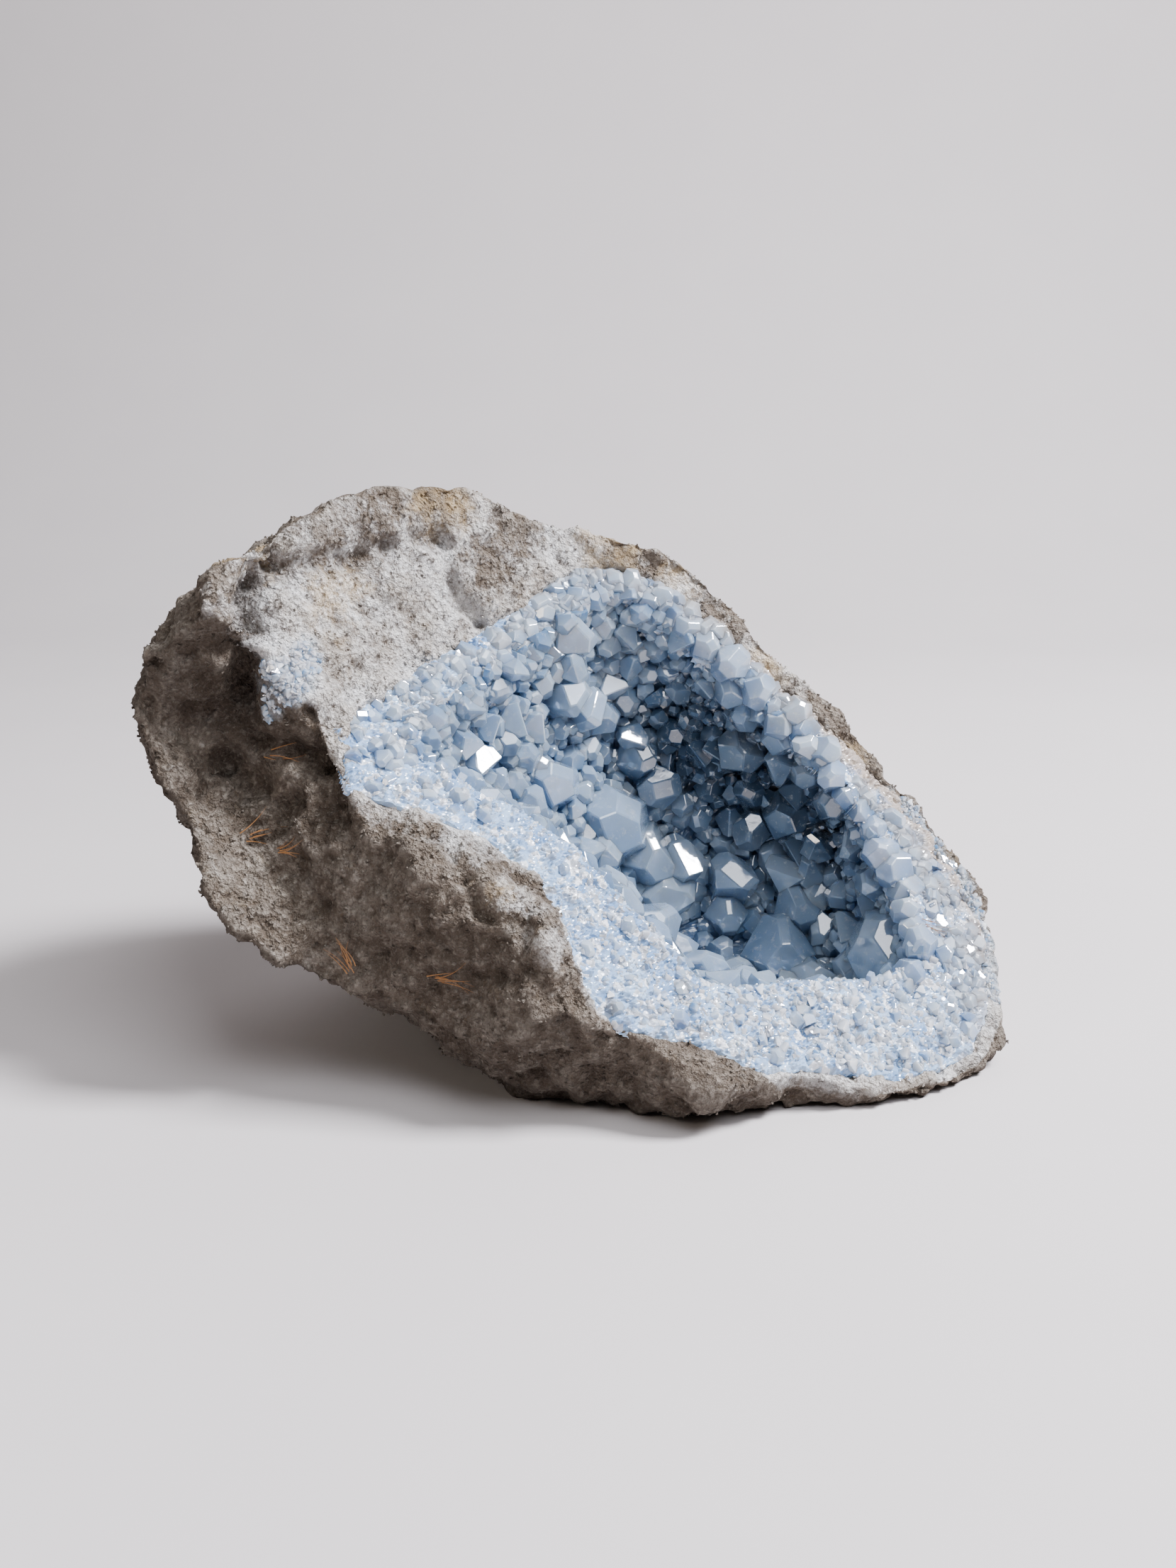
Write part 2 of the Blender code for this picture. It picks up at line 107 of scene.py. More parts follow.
# Angle, rise of the rock for each unit of distance past the band, and radius of the ridge in mm
PAST_BAND = (
    (78, 0.0, 200), (100, 0.22, 200), (120, 0.40, 200), (140, 0.53, 200), (168, 0.60, 200), (186, 0.52, 200),
    (190, 0.45, 118), (201, 0.2, 111), (207, 0.1, 100), (218, 0.0, 96), (231, 0.0, 83), (246, 0.0, 82),
    (256, 0.0, 86), (264, 0.0, 200),
)
HOLLOW_DEPTH = 57 * MM
WALL_POWER = 1.25
WALL_POWER_SWING = 0.4
STEEP_SIDE = 15
UNDERCUT = 11 * MM
UNDERCUT_SIDE = 55
BREAK_CURL = 3.25
CURL_START = 20 * MM


def around(table, angle, column):
    """Values of a table's column at an angle or at many, with straight stretches between its rows."""
    return np.interp(angle, [row[0] for row in table], [row[column] for row in table], period=360)


def curl(v):
    """How far the face curls up at v."""
    return BREAK_CURL * max(0.0, v - CURL_START) ** 2


def on_ray(angle, radius, height=0.0):
    """Point on the face at an angle and a radius about the hollow's centre."""
    u = HOLLOW_CENTRE[0] * MM + radius * math.cos(math.radians(angle))
    v = HOLLOW_CENTRE[1] * MM + radius * math.sin(math.radians(angle))
    return on_face(u, v, height), u, v


def wall_point(angle, slope, mouth=None):
    """Point on the hollow's wall. The slope is 0 at the mouth and 90 degrees at the bottom."""
    if mouth is None:
        mouth = float(around(OUTLINE, angle, 1)) * MM
    power = WALL_POWER - WALL_POWER_SWING * math.cos(math.radians(angle - STEEP_SIDE))
    fall = math.radians(slope)
    side = max(0.0, math.cos(math.radians(angle - UNDERCUT_SIDE)))
    radius = mouth * max(0.0, math.cos(fall)) ** power + UNDERCUT * side * math.sin(2 * fall)
    point, _, v = on_ray(angle, radius)
    return point + BREAK_NORMAL * (curl(v) * math.cos(fall) - HOLLOW_DEPTH * math.sin(fall) ** power)


def wall(angle, slope):
    """Point on the wall, and the direction out of it."""
    along = wall_point(angle + 3, slope) - wall_point(angle - 3, slope)
    down = wall_point(angle, min(slope + 3, 90)) - wall_point(angle, max(slope - 3, 0))
    return wall_point(angle, slope), along.cross(down).normalized()


print("the hollow is", round(HOLLOW_DEPTH / MM), "mm deep")

# %% [markdown]
# ## Turning colours and building node trees
# A colour picked on a screen is in sRGB, and a shader works in linear light, so one function turns a hex
# value into what a socket wants. Another adds a node, sets it up, fills its inputs, each with a value or
# with another node's output, and gives back an output. Most of a stone's look is colours laid over each
# other, each where some pattern is high, so a third lays on a whole table of colours. With these, a material
# reads as a short list of steps.

# %% Helpers for materials


def linear(hex_colour, alpha=1.0):
    """Linear RGBA from an sRGB hex string."""
    channels = [int(hex_colour[i:i + 2], 16) / 255 for i in (0, 2, 4)]
    curved = [c / 12.92 if c <= 0.04045 else ((c + 0.055) / 1.055) ** 2.4 for c in channels]
    return (*curved, alpha)


def add(tree, kind, inputs, output=0, **settings):
    """Add a node, set it up, give its inputs values or links, and return one of its outputs."""
    made = tree.nodes.new("ShaderNode" + kind)
    for name, value in settings.items():
        setattr(made, name, value)
    for key, value in inputs.items():
        if isinstance(value, bpy.types.NodeSocket):
            tree.links.new(value, made.inputs[key])
        else:
            made.inputs[key].default_value = value
    return made.outputs[output] if made.outputs else None


def new_material(name):
    """Empty node material, its tree, and an output that says where on the stone a point is."""
    made = bpy.data.materials.new(name)
    made.use_nodes = True
    made.node_tree.nodes.clear()
    return made, made.node_tree, add(made.node_tree, "TexCoord", {}, "Object")


def per_size(millimetres):
    """Texture scale that gives a pattern of that size in millimetres."""
    return 1 / (millimetres * MM)


def layered(tree, colour, layers):
    """Colour with others laid over it, in order.

    A layer is a pattern, its value where the layer starts and where it is full, how much it covers there, and
    its colour.
    """
    for pattern, start, full, cover, over in layers:
        share = add(tree, "MapRange", {"Value": pattern, "From Min": start, "From Max": full, "To Max": cover})
        colour = add(tree, "Mix", {0: share, 6: colour, 7: over}, 2, data_type="RGBA")
    return colour


def summed(tree, total, parts):
    """A value plus some patterns, each times its own share."""
    for pattern, share in parts:
        total = add(tree, "Math", {0: pattern, 1: share, 2: total}, operation="MULTIPLY_ADD")
    return total


def frayed(tree, where, kept, millimetres, detail, rough, noise_span, reach):
    """Number kept for each point, raised and lowered by noise, so that its edge is frayed."""
    number = add(tree, "Attribute", {}, "Fac", attribute_name=kept)
    fray = add(tree, "TexNoise", {"Vector": where, "Scale": per_size(millimetres), "Detail": detail,
                                  "Roughness": rough})
    offset = add(tree, "MapRange", {"Value": fray, "From Min": noise_span[0], "From Max": noise_span[1],
                                    "To Min": reach[0], "To Max": reach[1]})
    return add(tree, "Math", {0: number, 1: offset}, operation="ADD")


print("chalk white is", [round(c, 2) for c in linear("d6d1c8")])

# %% [markdown]
# ## Meshes from code
# A boulder's surface and a crust of grains both have far too many points to place by hand. Each is worked
# out as an array and handed to Blender in one go, which is quick. A number kept for each point, such as how
# deep it lies in a pit, goes with the mesh as an attribute, and the material reads it.

# %% Helpers for meshes


def show(name, mesh):
    """Put a mesh in the scene. It was laid out about the stone's own middle, so it moves to ORIGIN."""
    mesh.transform(Matrix.Translation(ORIGIN))
    made = bpy.data.objects.new(name, mesh)
    bpy.context.scene.collection.objects.link(made)
    return made


def mesh_from(name, points, faces):
    """Mesh from an array of points and a list of faces."""
    mesh = bpy.data.meshes.new(name)
    mesh.from_pydata([tuple(p) for p in points], [], faces)
    mesh.update()
    return mesh


def keep(mesh, name, values):
    """Keep a number for each point of the mesh."""
    layer = mesh.attributes.new(name, "FLOAT", "POINT")
    layer.data.foreach_set("value", np.asarray(values, dtype=np.float32))


def points_of(mesh, what="co"):
    """Points of a mesh, or their normals, as an array."""
    values = np.empty(len(mesh.vertices) * 3, dtype=np.float32)
    mesh.vertices.foreach_get(what, values)
    return values.reshape(-1, 3).astype(float)


def put_points(mesh, points):
    """Move a mesh's points."""
    mesh.vertices.foreach_set("co", np.asarray(points, dtype=np.float32).ravel())
    mesh.update()


# %% [markdown]
# ## The limestone's surface
# The frame's solid has the boulder's lumps and its break, with flat facets. A copy is remeshed into even
# cells a little over a millimetre wide, smoothed until the facets are gone, and then roughened again in
# steps: lumps, nodules, grains and pits, each of them several times smaller than the one before. Rock looks
# like rock because of that run of sizes. The broken face is rougher close up and plainer from afar than the
# weathered outside.

# %% A fine copy of the boulder
ROCK_CELL = 1.32 * MM
SMOOTHING = 6


def fine_copy(node):
    """Evenly meshed, smoothed copy of a node, about the stone's own middle."""
    mesh = node.data.copy()
    mesh.transform(Matrix.Translation(-ORIGIN) @ node.matrix_world)
    holder = bpy.data.objects.new("holder", mesh)
    bpy.context.scene.collection.objects.link(holder)
    remesh = holder.modifiers.new("even cells", "REMESH")
    remesh.mode = "VOXEL"
    remesh.voxel_size = ROCK_CELL
    smooth = holder.modifiers.new("no facets", "SMOOTH")
    smooth.iterations = SMOOTHING
    fine = bpy.data.meshes.new_from_object(holder.evaluated_get(bpy.context.evaluated_depsgraph_get()))
    bpy.data.objects.remove(holder)
    return fine


rock_mesh = fine_copy(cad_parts["matrix"])
print("the fine rock has", len(rock_mesh.polygons), "faces")

# %% Where each point of the rock lies
DOME_MIDDLE = 140  # degrees: the fresh face is wide on this side of the hollow
DOME_REACH = 70
DOME_BLEND = 10
FRESH_LIP = 1.2 * MM  # and this narrow on the others
FACE_BLEND = 6 * MM  # the fresh look fades over this much, down from the face
RIDGE_BLEND = 5 * MM  # and over this much, past the ridge
rock_points = points_of(rock_mesh)


def about_hollow(points):
    """Angle and radius about the hollow's centre, place up the slope and height above the face."""
    away = points - np.array(BREAK_POINT)
    u = away @ np.array(FACE_U) - HOLLOW_CENTRE[0] * MM
    v = away @ np.array(FACE_V)
    v_from_centre = v - HOLLOW_CENTRE[1] * MM
    angle = np.degrees(np.arctan2(v_from_centre, u))
    return angle, np.hypot(u, v_from_centre), v, away @ np.array(BREAK_NORMAL)


def degrees_from(angle, middle):
    """How many degrees an angle, or each of many, is from another, whichever way round is shorter."""
    return abs((angle - middle + 180) % 360 - 180)


rock_angle, rock_radius, rock_v, rock_rise = about_hollow(rock_points)
past_band = rock_radius - around(OUTLINE, rock_angle, 2) * MM
past_ridge = rock_radius - around(PAST_BAND, rock_angle, 2) * MM
face_rise = BREAK_CURL * np.maximum(0.0, rock_v - CURL_START) ** 2
face_rise += np.maximum(0.0, past_band) * around(PAST_BAND, rock_angle, 1)
broken = np.clip(1.25 - (face_rise - rock_rise) / FACE_BLEND, 0, 1)
broken *= np.clip(1 - past_ridge / RIDGE_BLEND, 0, 1)
dome_side = np.clip((DOME_REACH - degrees_from(rock_angle, DOME_MIDDLE)) / DOME_BLEND, 0, 1)
broken *= np.maximum(dome_side, np.clip(1.5 - past_band / FRESH_LIP, 0, 1))
print("share of the rock on the broken face:", round(float((broken > 0.5).mean()), 2))

# %% [markdown]
# ## Grooves, pockets and stains
# A noise makes a surface rough everywhere alike. What makes this one stone is where its own marks are: a
# deep groove left of the dome, notches in the lumps below the band, pockets under the ridge, lumps that
# chipped pale, a patch of celestite that shows through the rock, and ochre stains. Each is a place or a
# short path on the stone. How far a point of the surface lies from it decides how deep or how strongly
# coloured it is, and a little noise on that distance makes every edge ragged. Grooves and pockets are also
# darkened by painted shade as deep as they go.

# %% The stone's own marks
# Path in mm, width and depth in mm
GROOVES = (
    (((-76, -14, 139), (-77, -20, 133), (-79, -26, 121), (-83, -26, 113), (-85, -20, 101)), 4.2, 9.5),
    (((-62, -30, 88), (-61, -34, 80), (-58, -38, 70)), 4.0, 3.5),
    (((-28, -42, 71), (-25, -47, 66), (-22, -51, 58)), 2.0, 3.2),
    (((-11, -35, 66), (-8, -50, 60), (-10, -57, 49)), 2.4, 3.2),
    (((-42, -40, 75), (-30, -40, 72), (-24, -39, 71), (-12, -33, 67)), 2.2, 3.0),
    (((-20, -56, 52), (-34, -52, 46), (-52, -44, 40)), 3.0, 2.5),
    (((-98, -4, 112), (-94, -16, 96), (-88, -18, 84)), 3.0, 3.0),
    (((-33, 20, 143), (-32, 20, 136), (-31, 18, 129), (-28, 19, 123), (-24, 20, 116)), 2.2, 3.0),
    (((-76, -20, 131), (-68, -10, 136), (-57, 1, 137), (-44, 12, 139), (-33, 20, 141)), 3.0, 2.6),
    (((-85, -20, 101), (-87, -17, 94), (-81, -16, 91), (-70, -20, 91)), 3.0, 4.0),
    (((-62, -21, 99), (-63, -24, 91), (-64, -29, 80), (-62, -33, 70)), 2.8, 3.5),
)
# The same for pockets, each with one place
POCKETS = (
    ((-82, -17, 79), 5.0, 4.0), ((-73, -24, 77), 4.5, 4.5), ((-67, -22, 89), 4.5, 3.5),
    ((-92, -18, 99), 5.0, 3.5), ((-88, -14, 86), 3.5, 3.0), ((-48, -43, 60), 4.0, 3.0),
    ((-36, -50, 52), 3.5, 2.5),
)
# Place in mm and radius in mm of round spots: celestite in the rock, worn and chipped places, and stains
PATCHES = (((-72, -22, 109), 8.0), ((-67, -18, 114), 6.0), ((-76, -20, 102), 4.5))
WEATHERED = (
    ((-85, -27, 136), 8.0), ((-84, -29, 122), 8.0), ((-90, -22, 128), 9.0),
    ((-68, 2, 142), 12.0), ((-52, 12, 149), 12.0), ((-36, 22, 150), 10.0), ((-22, 27, 132), 9.0),
    ((-14, 32, 140), 9.0), ((21, 46, 133), 12.0), ((46, 44, 114), 12.0), ((71, 36, 87), 10.0),
    ((98, 27, 61), 9.0),
)
CHIPPED = (((-24, -36, 71), 9.0), ((-9, -48, 62), 8.0), ((-4, -56, 50), 6.0))
STAINS = (
    ((-61, -4, 127), 9.0), ((-56, -2, 131), 7.0), ((-33, 23, 152), 12.0), ((-16, -48, 61), 3.5),
    ((-84, -12, 137), 9.0), ((12, 44, 134), 10.0), ((33, 46, 124), 8.0),
    ((58, 41, 101), 9.0), ((84, 30, 73), 8.0), ((110, 20, 49), 7.0),
)

# Size and reach in mm of the noise on each distance
RAGGED = ((5, 1.7), (2.4, 1.1))

# %% Depth and colour of the marks
WORN_OFF = 0.7  # how much of the fresh look is gone in a weathered spot
CHIPPED_FRESH = 0.8  # how fresh a chipped spot looks
THIN_SIDE = 15  # degrees: here the rock round the band is thin, and half of it is celestite
THIN_WIDTH = 36
THIN_BLEND = 15
THIN_REACH = 7 * MM
THIN_DEPTH = 8 * MM
ragged = np.array([sum(noise.noise(Vector(point) / (size * MM)) * reach for size, reach in RAGGED)
                   for point in rock_points])


def distance_to(points, path):
    """Distance of each point from a path of straight stretches, in mm."""
    nearest = np.full(len(points), 1e9)
    for start, end in zip(path, path[1:]):
        start, end = np.array(start, float), np.array(end, float)
        along = np.clip((points / MM - start) @ (end - start) / ((end - start) @ (end - start)), 0, 1)
        reach = np.linalg.norm(points / MM - start - along[:, None] * (end - start), axis=1)
        nearest = np.minimum(nearest, reach)
    return nearest


def spots_on_rock(spots):
    """How far each point of the rock is inside the nearest of some round spots: 1 in the middle, 0 outside."""
    inside = np.zeros(len(rock_points))
    for place, radius in spots:
        away = np.linalg.norm(rock_points / MM - np.array(place), axis=1) + ragged
        inside = np.maximum(inside, np.clip(1.5 - away / radius, 0, 1))
    return inside


# A pocket is a groove with almost no length
pocket_paths = tuple(((place, np.array(place) + 0.1), width, depth) for place, width, depth in POCKETS)
marks = np.zeros(len(rock_points))
for path, width, depth in GROOVES + pocket_paths:
    marks -= depth * np.exp(-((distance_to(rock_points, path) + ragged) / width) ** 2)
thin_side = np.clip((THIN_WIDTH - degrees_from(rock_angle, THIN_SIDE)) / THIN_BLEND, 0, 1)
thin_side *= np.clip(1.6 + rock_rise / THIN_DEPTH, 0, 1)
thin_side *= np.clip(1.4 - np.maximum(past_band, 0) / THIN_REACH, 0, 1)
patch = np.maximum(spots_on_rock(PATCHES), thin_side)
ochre = spots_on_rock(STAINS)
broken *= 1 - WORN_OFF * spots_on_rock(WEATHERED)
broken = np.maximum(broken, CHIPPED_FRESH * spots_on_rock(CHIPPED))
print("the deepest mark is", round(-marks.min(), 1), "mm")

# %% Painted shade on the side that faces down
# Painted shade: darker on what faces down, and on the side away from the lights, where the rock lies in shadow
LIGHT_SIDE = (0.35, -0.1, 0.9)
SHADE_START = 0.45
painted_shade = np.clip(SHADE_START - points_of(rock_mesh, "normal") @ np.array(LIGHT_SIDE), 0, 1)
print("share of the rock that is dirty:", round(float((painted_shade > 0.5).mean()), 2))

# %% Lumps, nodules, grains and pits
# Noise and nodules have a size and a height in mm. Pits have a size, a depth and the noise where they start.
WEATHERED_RELIEF = {"noise": ((17, 2.2), (8, 1.2), (3.6, 0.6)), "nodules": ((8.5, 3.2), (3.8, 1.9)),
                    "pits": (6.5, 6.0, 0.30)}
BROKEN_RELIEF = {"noise": ((24, 1.8), (10, 1.7), (5, 1.2), (2.8, 0.7)), "nodules": ((4.2, 1.5),),
                 "pits": (7, 3.0, 0.45)}
NODULE_MIDDLE = 0.7
SUNK = 0.6  # mm: the whole relief lies a little lower, so that it stays inside the frame's box
MARK_SHADE = 0.35  # how much of a mark's depth counts for its colour, as painted shade


def cobbles(point, size):
    """Rounded lumps side by side: 0 in the cracks between them and 1 on top."""
    distances = noise.voronoi(point / (size * MM))[0]
    return min(1.0, 2.2 * (distances[1] - distances[0]))


def nodules(point, size):
    """Round bumps side by side: 1 on top, and about a third in the creases between them."""
    return 1 - noise.voronoi(point / (size * MM))[0][0] ** 2


def rock_relief(point, kind):
    """Height of the rock's texture at a point in mm, and the same without its largest step."""
    bumps = [noise.noise(point / (size * MM)) * height for size, height in kind["noise"]]
    small = sum(bumps[1:])
    small += sum(height * (nodules(point, size) - NODULE_MIDDLE) for size, height in kind["nodules"])
    size, depth, start = kind["pits"]
    small -= depth * max(0.0, noise.noise(point / (size * MM)) - start)
    return bumps[0] + small, small


rock_normals = points_of(rock_mesh, "normal")
relief = marks - SUNK
# The texture number feeds the colour: low values get painted shade, in grooves, pockets, pits and creases, and
# high ones a painted highlight
texture = MARK_SHADE * marks
for i, place in enumerate(rock_points):
    for kind, share in ((BROKEN_RELIEF, broken[i]), (WEATHERED_RELIEF, 1 - broken[i])):
        if share > 0:
            tall, fine = rock_relief(Vector(place), kind)
            relief[i] += share * tall
            texture[i] += share * fine
box_low, box_high = (np.array(corner) - np.array(ORIGIN) for corner in cad_box)
roughened = np.clip(rock_points + rock_normals * (relief * MM)[:, None], box_low, box_high)
put_points(rock_mesh, roughened)
kept_for_rock = {"broken": broken, "texture": texture, "patch": patch, "ochre": ochre, "painted_shade": painted_shade}
for name, values in kept_for_rock.items():
    keep(rock_mesh, name, values)
rock_mesh.shade_smooth()
boulder = show("boulder", rock_mesh)
print("the relief runs from", round(relief.min(), 1), "to", round(relief.max(), 1), "mm")

# %% [markdown]
# ## Limestone, weathered and broken
# Limestone is calcium carbonate mud turned to stone. It has no shine, so its roughness is near 1. Its colour
# is what tells: grey-brown where grime and lichen sat for years, and pale, chalky grey where the break is
# fresher. Painted shade makes it nearly black in the gaps between grains and nodules and in its pits, and
# darker again on the side that faces down and away from the lights, and a painted highlight makes its raised
# places paler. A few spots are stained ochre by iron. Light and dark grit of two sizes goes over all of it,
# because no face of a rock is one colour.

# %% Limestone material
GRAIN_BUMP = 6 * MM  # how high the bump of the grains is, at most


def make_limestone():
    """Rough grey-brown limestone, paler on the break, with celestite in patches; painted shade darkens pits,
    creases and down sides, and a painted highlight lightens raised places.
    """
    made, tree, where = new_material("limestone, weathered and broken")
    # Size in mm, detail and roughness of each noise
    patches, bare, coarse_grit, grit = (
        add(tree, "TexNoise", {"Vector": where, "Scale": per_size(size), "Detail": detail, "Roughness": rough})
        for size, detail, rough in ((20, 5.0, 0.65), (8, 5.0, 0.7), (2.6, 4.0, 0.7), (0.9, 3.0, 0.7)))
    grains = add(tree, "TexVoronoi", {"Vector": where, "Scale": per_size(2.0), "Detail": 1.0})
    height = add(tree, "Attribute", {}, "Fac", attribute_name="texture")
    in_painted_shade = add(tree, "Attribute", {}, "Fac", attribute_name="painted_shade")
    fresh = frayed(tree, where, "broken", 4, 5.0, 0.7, (0.3, 0.7), (-0.4, 0.4))
    on_break = add(tree, "MapRange", {"Value": fresh, "From Min": 0.3, "From Max": 0.8})
    iron = frayed(tree, where, "ochre", 6, 5.0, 0.7, (0.3, 0.7), (-1.2, 0.2))
    crust = frayed(tree, where, "patch", 6, 5.0, 0.7, (0.3, 0.7), (-0.9, 0.2))
    crystalline = add(tree, "MapRange", {"Value": crust, "From Min": 0.1, "From Max": 0.9, "To Max": 0.85})
    # Painted shade in the creases between grains, weaker on the break
    grain_crease_shade = add(tree, "MapRange", {"Value": grains, "From Min": 0.45, "From Max": 0.75, "To Max": 0.5})
    fewer_on_break = add(tree, "MapRange", {"Value": on_break, "To Min": 1.0, "To Max": 0.6})
    painted_grain_shade = add(tree, "Math", {0: grain_crease_shade, 1: fewer_on_break}, operation="MULTIPLY")
    brown = layered(tree, linear("62564a"), ((patches, 0.35, 0.65, 1.0, linear("948779")),))
    chalk = layered(tree, linear("b8aea2"), ((patches, 0.4, 0.6, 1.0, linear("fbfaf8")),))
    light_grit = layered(tree, linear("b3a899"), ((on_break, 0.0, 1.0, 1.0, linear("e6e2db")),))
    lighter_grit = layered(tree, linear("c2b8aa"), ((on_break, 0.0, 1.0, 1.0, linear("f0ede8")),))
    celestite = layered(tree, linear("b3c2cc"), ((coarse_grit, 0.4, 0.6, 1.0, linear("eceff1")),))
    colour = layered(tree, brown, (
        (on_break, 0.0, 1.0, 1.0, chalk),
        # Painted highlight where the relief is high, and painted shade where it is low
        (height, -0.1, 1.4, 0.5, linear("c4bbae")),
        (height, -0.4, -2.2, 0.75, linear("4a3e33")),
        (bare, 0.54, 0.66, 0.55, linear("cdc5b9")),
        (coarse_grit, 0.52, 0.66, 0.65, light_grit),
        (coarse_grit, 0.47, 0.36, 0.7, linear("5e5043")),
        (grit, 0.54, 0.7, 0.5, lighter_grit),
        (grit, 0.44, 0.32, 0.5, linear("5a4c40")),
        # Painted shade between grains
        (painted_grain_shade, 0.0, 1.0, 1.0, linear("54483c")),
        (iron, -0.1, 1.0, 0.5, linear("d3b27c")),
        (crystalline, 0.0, 1.0, 1.0, celestite),
        # Painted shade on the side that faces down and away from the lights
        (in_painted_shade, 0.0, 0.8, 0.5, linear("40352c")),
    ))
    bumps = summed(tree, 0.0, ((coarse_grit, 0.7), (grit, 0.35), (grains, -0.3)))
    lower_on_break = add(tree, "MapRange", {"Value": on_break, "To Min": 1.0, "To Max": 0.8})
    bumps = add(tree, "Math", {0: bumps, 1: lower_on_break}, operation="MULTIPLY")
    bump = add(tree, "Bump", {"Height": bumps, "Strength": 1.0, "Distance": GRAIN_BUMP})
    roughness = add(tree, "MapRange", {"Value": crystalline, "To Min": 0.95, "To Max": 0.35})
    surface = add(tree, "BsdfPrincipled", {
        "Base Color": colour, "Roughness": roughness, "IOR": 1.5, "Specular IOR Level": 0.3, "Normal": bump})
    add(tree, "OutputMaterial", {"Surface": surface})
    return made


limestone = make_limestone()
boulder.data.materials.clear()
boulder.data.materials.append(limestone)
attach(boulder, "root")
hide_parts("matrix")
print("limestone is on the boulder")

# %% [markdown]
# ## The granular band and the wall behind the crystals
# Celestite starts against the rock as a mass of grains a millimetre or two wide, and only the last ones,
# with room to grow, become crystals. The band is where the break cut through those grains. It is an even
# grid on the face, from just under the rock's edge to a little way down the wall, with a grainy relief. Its
# outer edge is measured on the frame, by looking straight down on the face along rays. The wall carries on
# behind the crystals. It hardly shows, so it is coarser.

# %% Where the crust ends on the face
EDGE_SAMPLES = 180
EDGE_STEP = 0.5 * MM
LOOK_FROM = 60 * MM
LOOK_PAST = 5 * MM
NOTHING_FOUND = 1.0


def tree_of(node):
    """Search tree of a node's faces, about the stone's own middle."""
    place = Matrix.Translation(-ORIGIN) @ node.matrix_world
    corners = [place @ vert.co for vert in node.data.vertices]
    return BVHTree.FromPolygons(corners, [list(face.vertices) for face in node.data.polygons])


rock_tree = tree_of(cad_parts["matrix"])
crust_tree = tree_of(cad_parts["crystal_crust"])


def depth_of(tree, point):
    """Distance from a point above the face straight down to a surface, or a large one where there is none."""
    found = tree.ray_cast(point, -BREAK_NORMAL)[3]
    return NOTHING_FOUND if found is None else found


def crust_edge(angle):
    """Largest radius at which the crust, and not the rock, is on top."""
    radius = float(around(OUTLINE, angle, 2)) * MM + LOOK_PAST
    while radius > float(around(OUTLINE, angle, 1)) * MM:
        above = on_ray(angle, radius, LOOK_FROM)[0]
        if depth_of(crust_tree, above) < min(0.99 * NOTHING_FOUND, depth_of(rock_tree, above)):
            break
        radius -= EDGE_STEP
    return radius


sample_angles = np.arange(EDGE_SAMPLES) * 360 / EDGE_SAMPLES
edges = np.array([crust_edge(angle) for angle in sample_angles])
widths = edges - around(OUTLINE, sample_angles, 1) * MM
print("the band is up to", round(float(widths.max() / MM)), "mm wide")

# %% Band
BAND_CELL = 0.5 * MM
TUCK = 3.5 * MM  # how far the band goes on under the rock, and then down
LIP_DEPTH = 8 * MM  # how far it goes down the wall
BREAK_NOISE = ((30, 1.6), (9, 0.9))  # size and height in mm
GRAIN_LUMPS = ((2.4, 0.6), (1.3, 0.45))
GRAIN_NOISE = ((9, 1.6), (4, 0.9))
GRAIN_MIDDLE = 0.5
FLOOR_GAP = 0.5 * MM  # nothing of the celestite is nearer the floor than this


def sugar(point):
    """Height of the granular relief, in mm."""
    lumps = sum(height * cobbles(point, size) for size, height in GRAIN_LUMPS)
    return lumps + sum(height * noise.noise(point / (size * MM)) for size, height in GRAIN_NOISE) - GRAIN_MIDDLE


def wall_power(angle):
    """How steep the wall is at an angle, or at many."""
    return WALL_POWER - WALL_POWER_SWING * np.cos(np.radians(angle - STEEP_SIDE))


def band_surface(u, v, angle, radius, outer, mouth):
    """Point of the band's surface at a place on the face, without its grains."""
    spot = on_face(u, v)
    height = sum(noise.noise(spot / (size * MM)) * rise * MM for size, rise in BREAK_NOISE) + curl(v)
    height -= TUCK * max(0.0, (radius - outer) / TUCK) ** 2
    if radius < mouth:
        power = wall_power(angle)
        fall = math.acos((radius / mouth) ** (1 / power))
        height -= HOLLOW_DEPTH * math.sin(fall) ** power
    return spot + BREAK_NORMAL * height


reach = float(edges.max()) + TUCK
steps = np.arange(-reach, reach, BAND_CELL)
across, up = np.meshgrid(steps, steps)
grid_angle = np.degrees(np.arctan2(up, across))
grid_radius = np.hypot(across, up)
grid_outer = np.interp(grid_angle, sample_angles, edges, period=360)
grid_mouth = around(OUTLINE, grid_angle, 1) * MM
grid_power = wall_power(grid_angle)
lip_fall = np.arcsin((LIP_DEPTH / HOLLOW_DEPTH) ** (1 / grid_power))
inside = (grid_radius < grid_outer + TUCK) & (grid_radius > grid_mouth * np.cos(lip_fall) ** grid_power)
numbers = np.full(inside.shape, -1)
numbers[inside] = np.arange(inside.sum())
bare_points = []
band_points = []
for row, column in np.argwhere(inside):
    u = HOLLOW_CENTRE[0] * MM + across[row, column]
    v = HOLLOW_CENTRE[1] * MM + up[row, column]
    spot = band_surface(u, v, grid_angle[row, column], grid_radius[row, column], grid_outer[row, column],
                        grid_mouth[row, column])
    bare_points.append(spot)
    band_points.append(spot + BREAK_NORMAL * sugar(spot) * MM)
corners = (numbers[:-1, :-1], numbers[:-1, 1:], numbers[1:, 1:], numbers[1:, :-1])
squares = np.stack([corner.ravel() for corner in corners], axis=1)
squares = squares[np.all(squares >= 0, axis=1)]
band_points = np.clip(np.array(band_points), box_low + FLOOR_GAP, box_high)
band_mesh = mesh_from("band", band_points, squares.tolist())
band_mesh.shade_flat()
band = show("granular_band", band_mesh)
print("the band has", len(band_mesh.polygons), "faces")

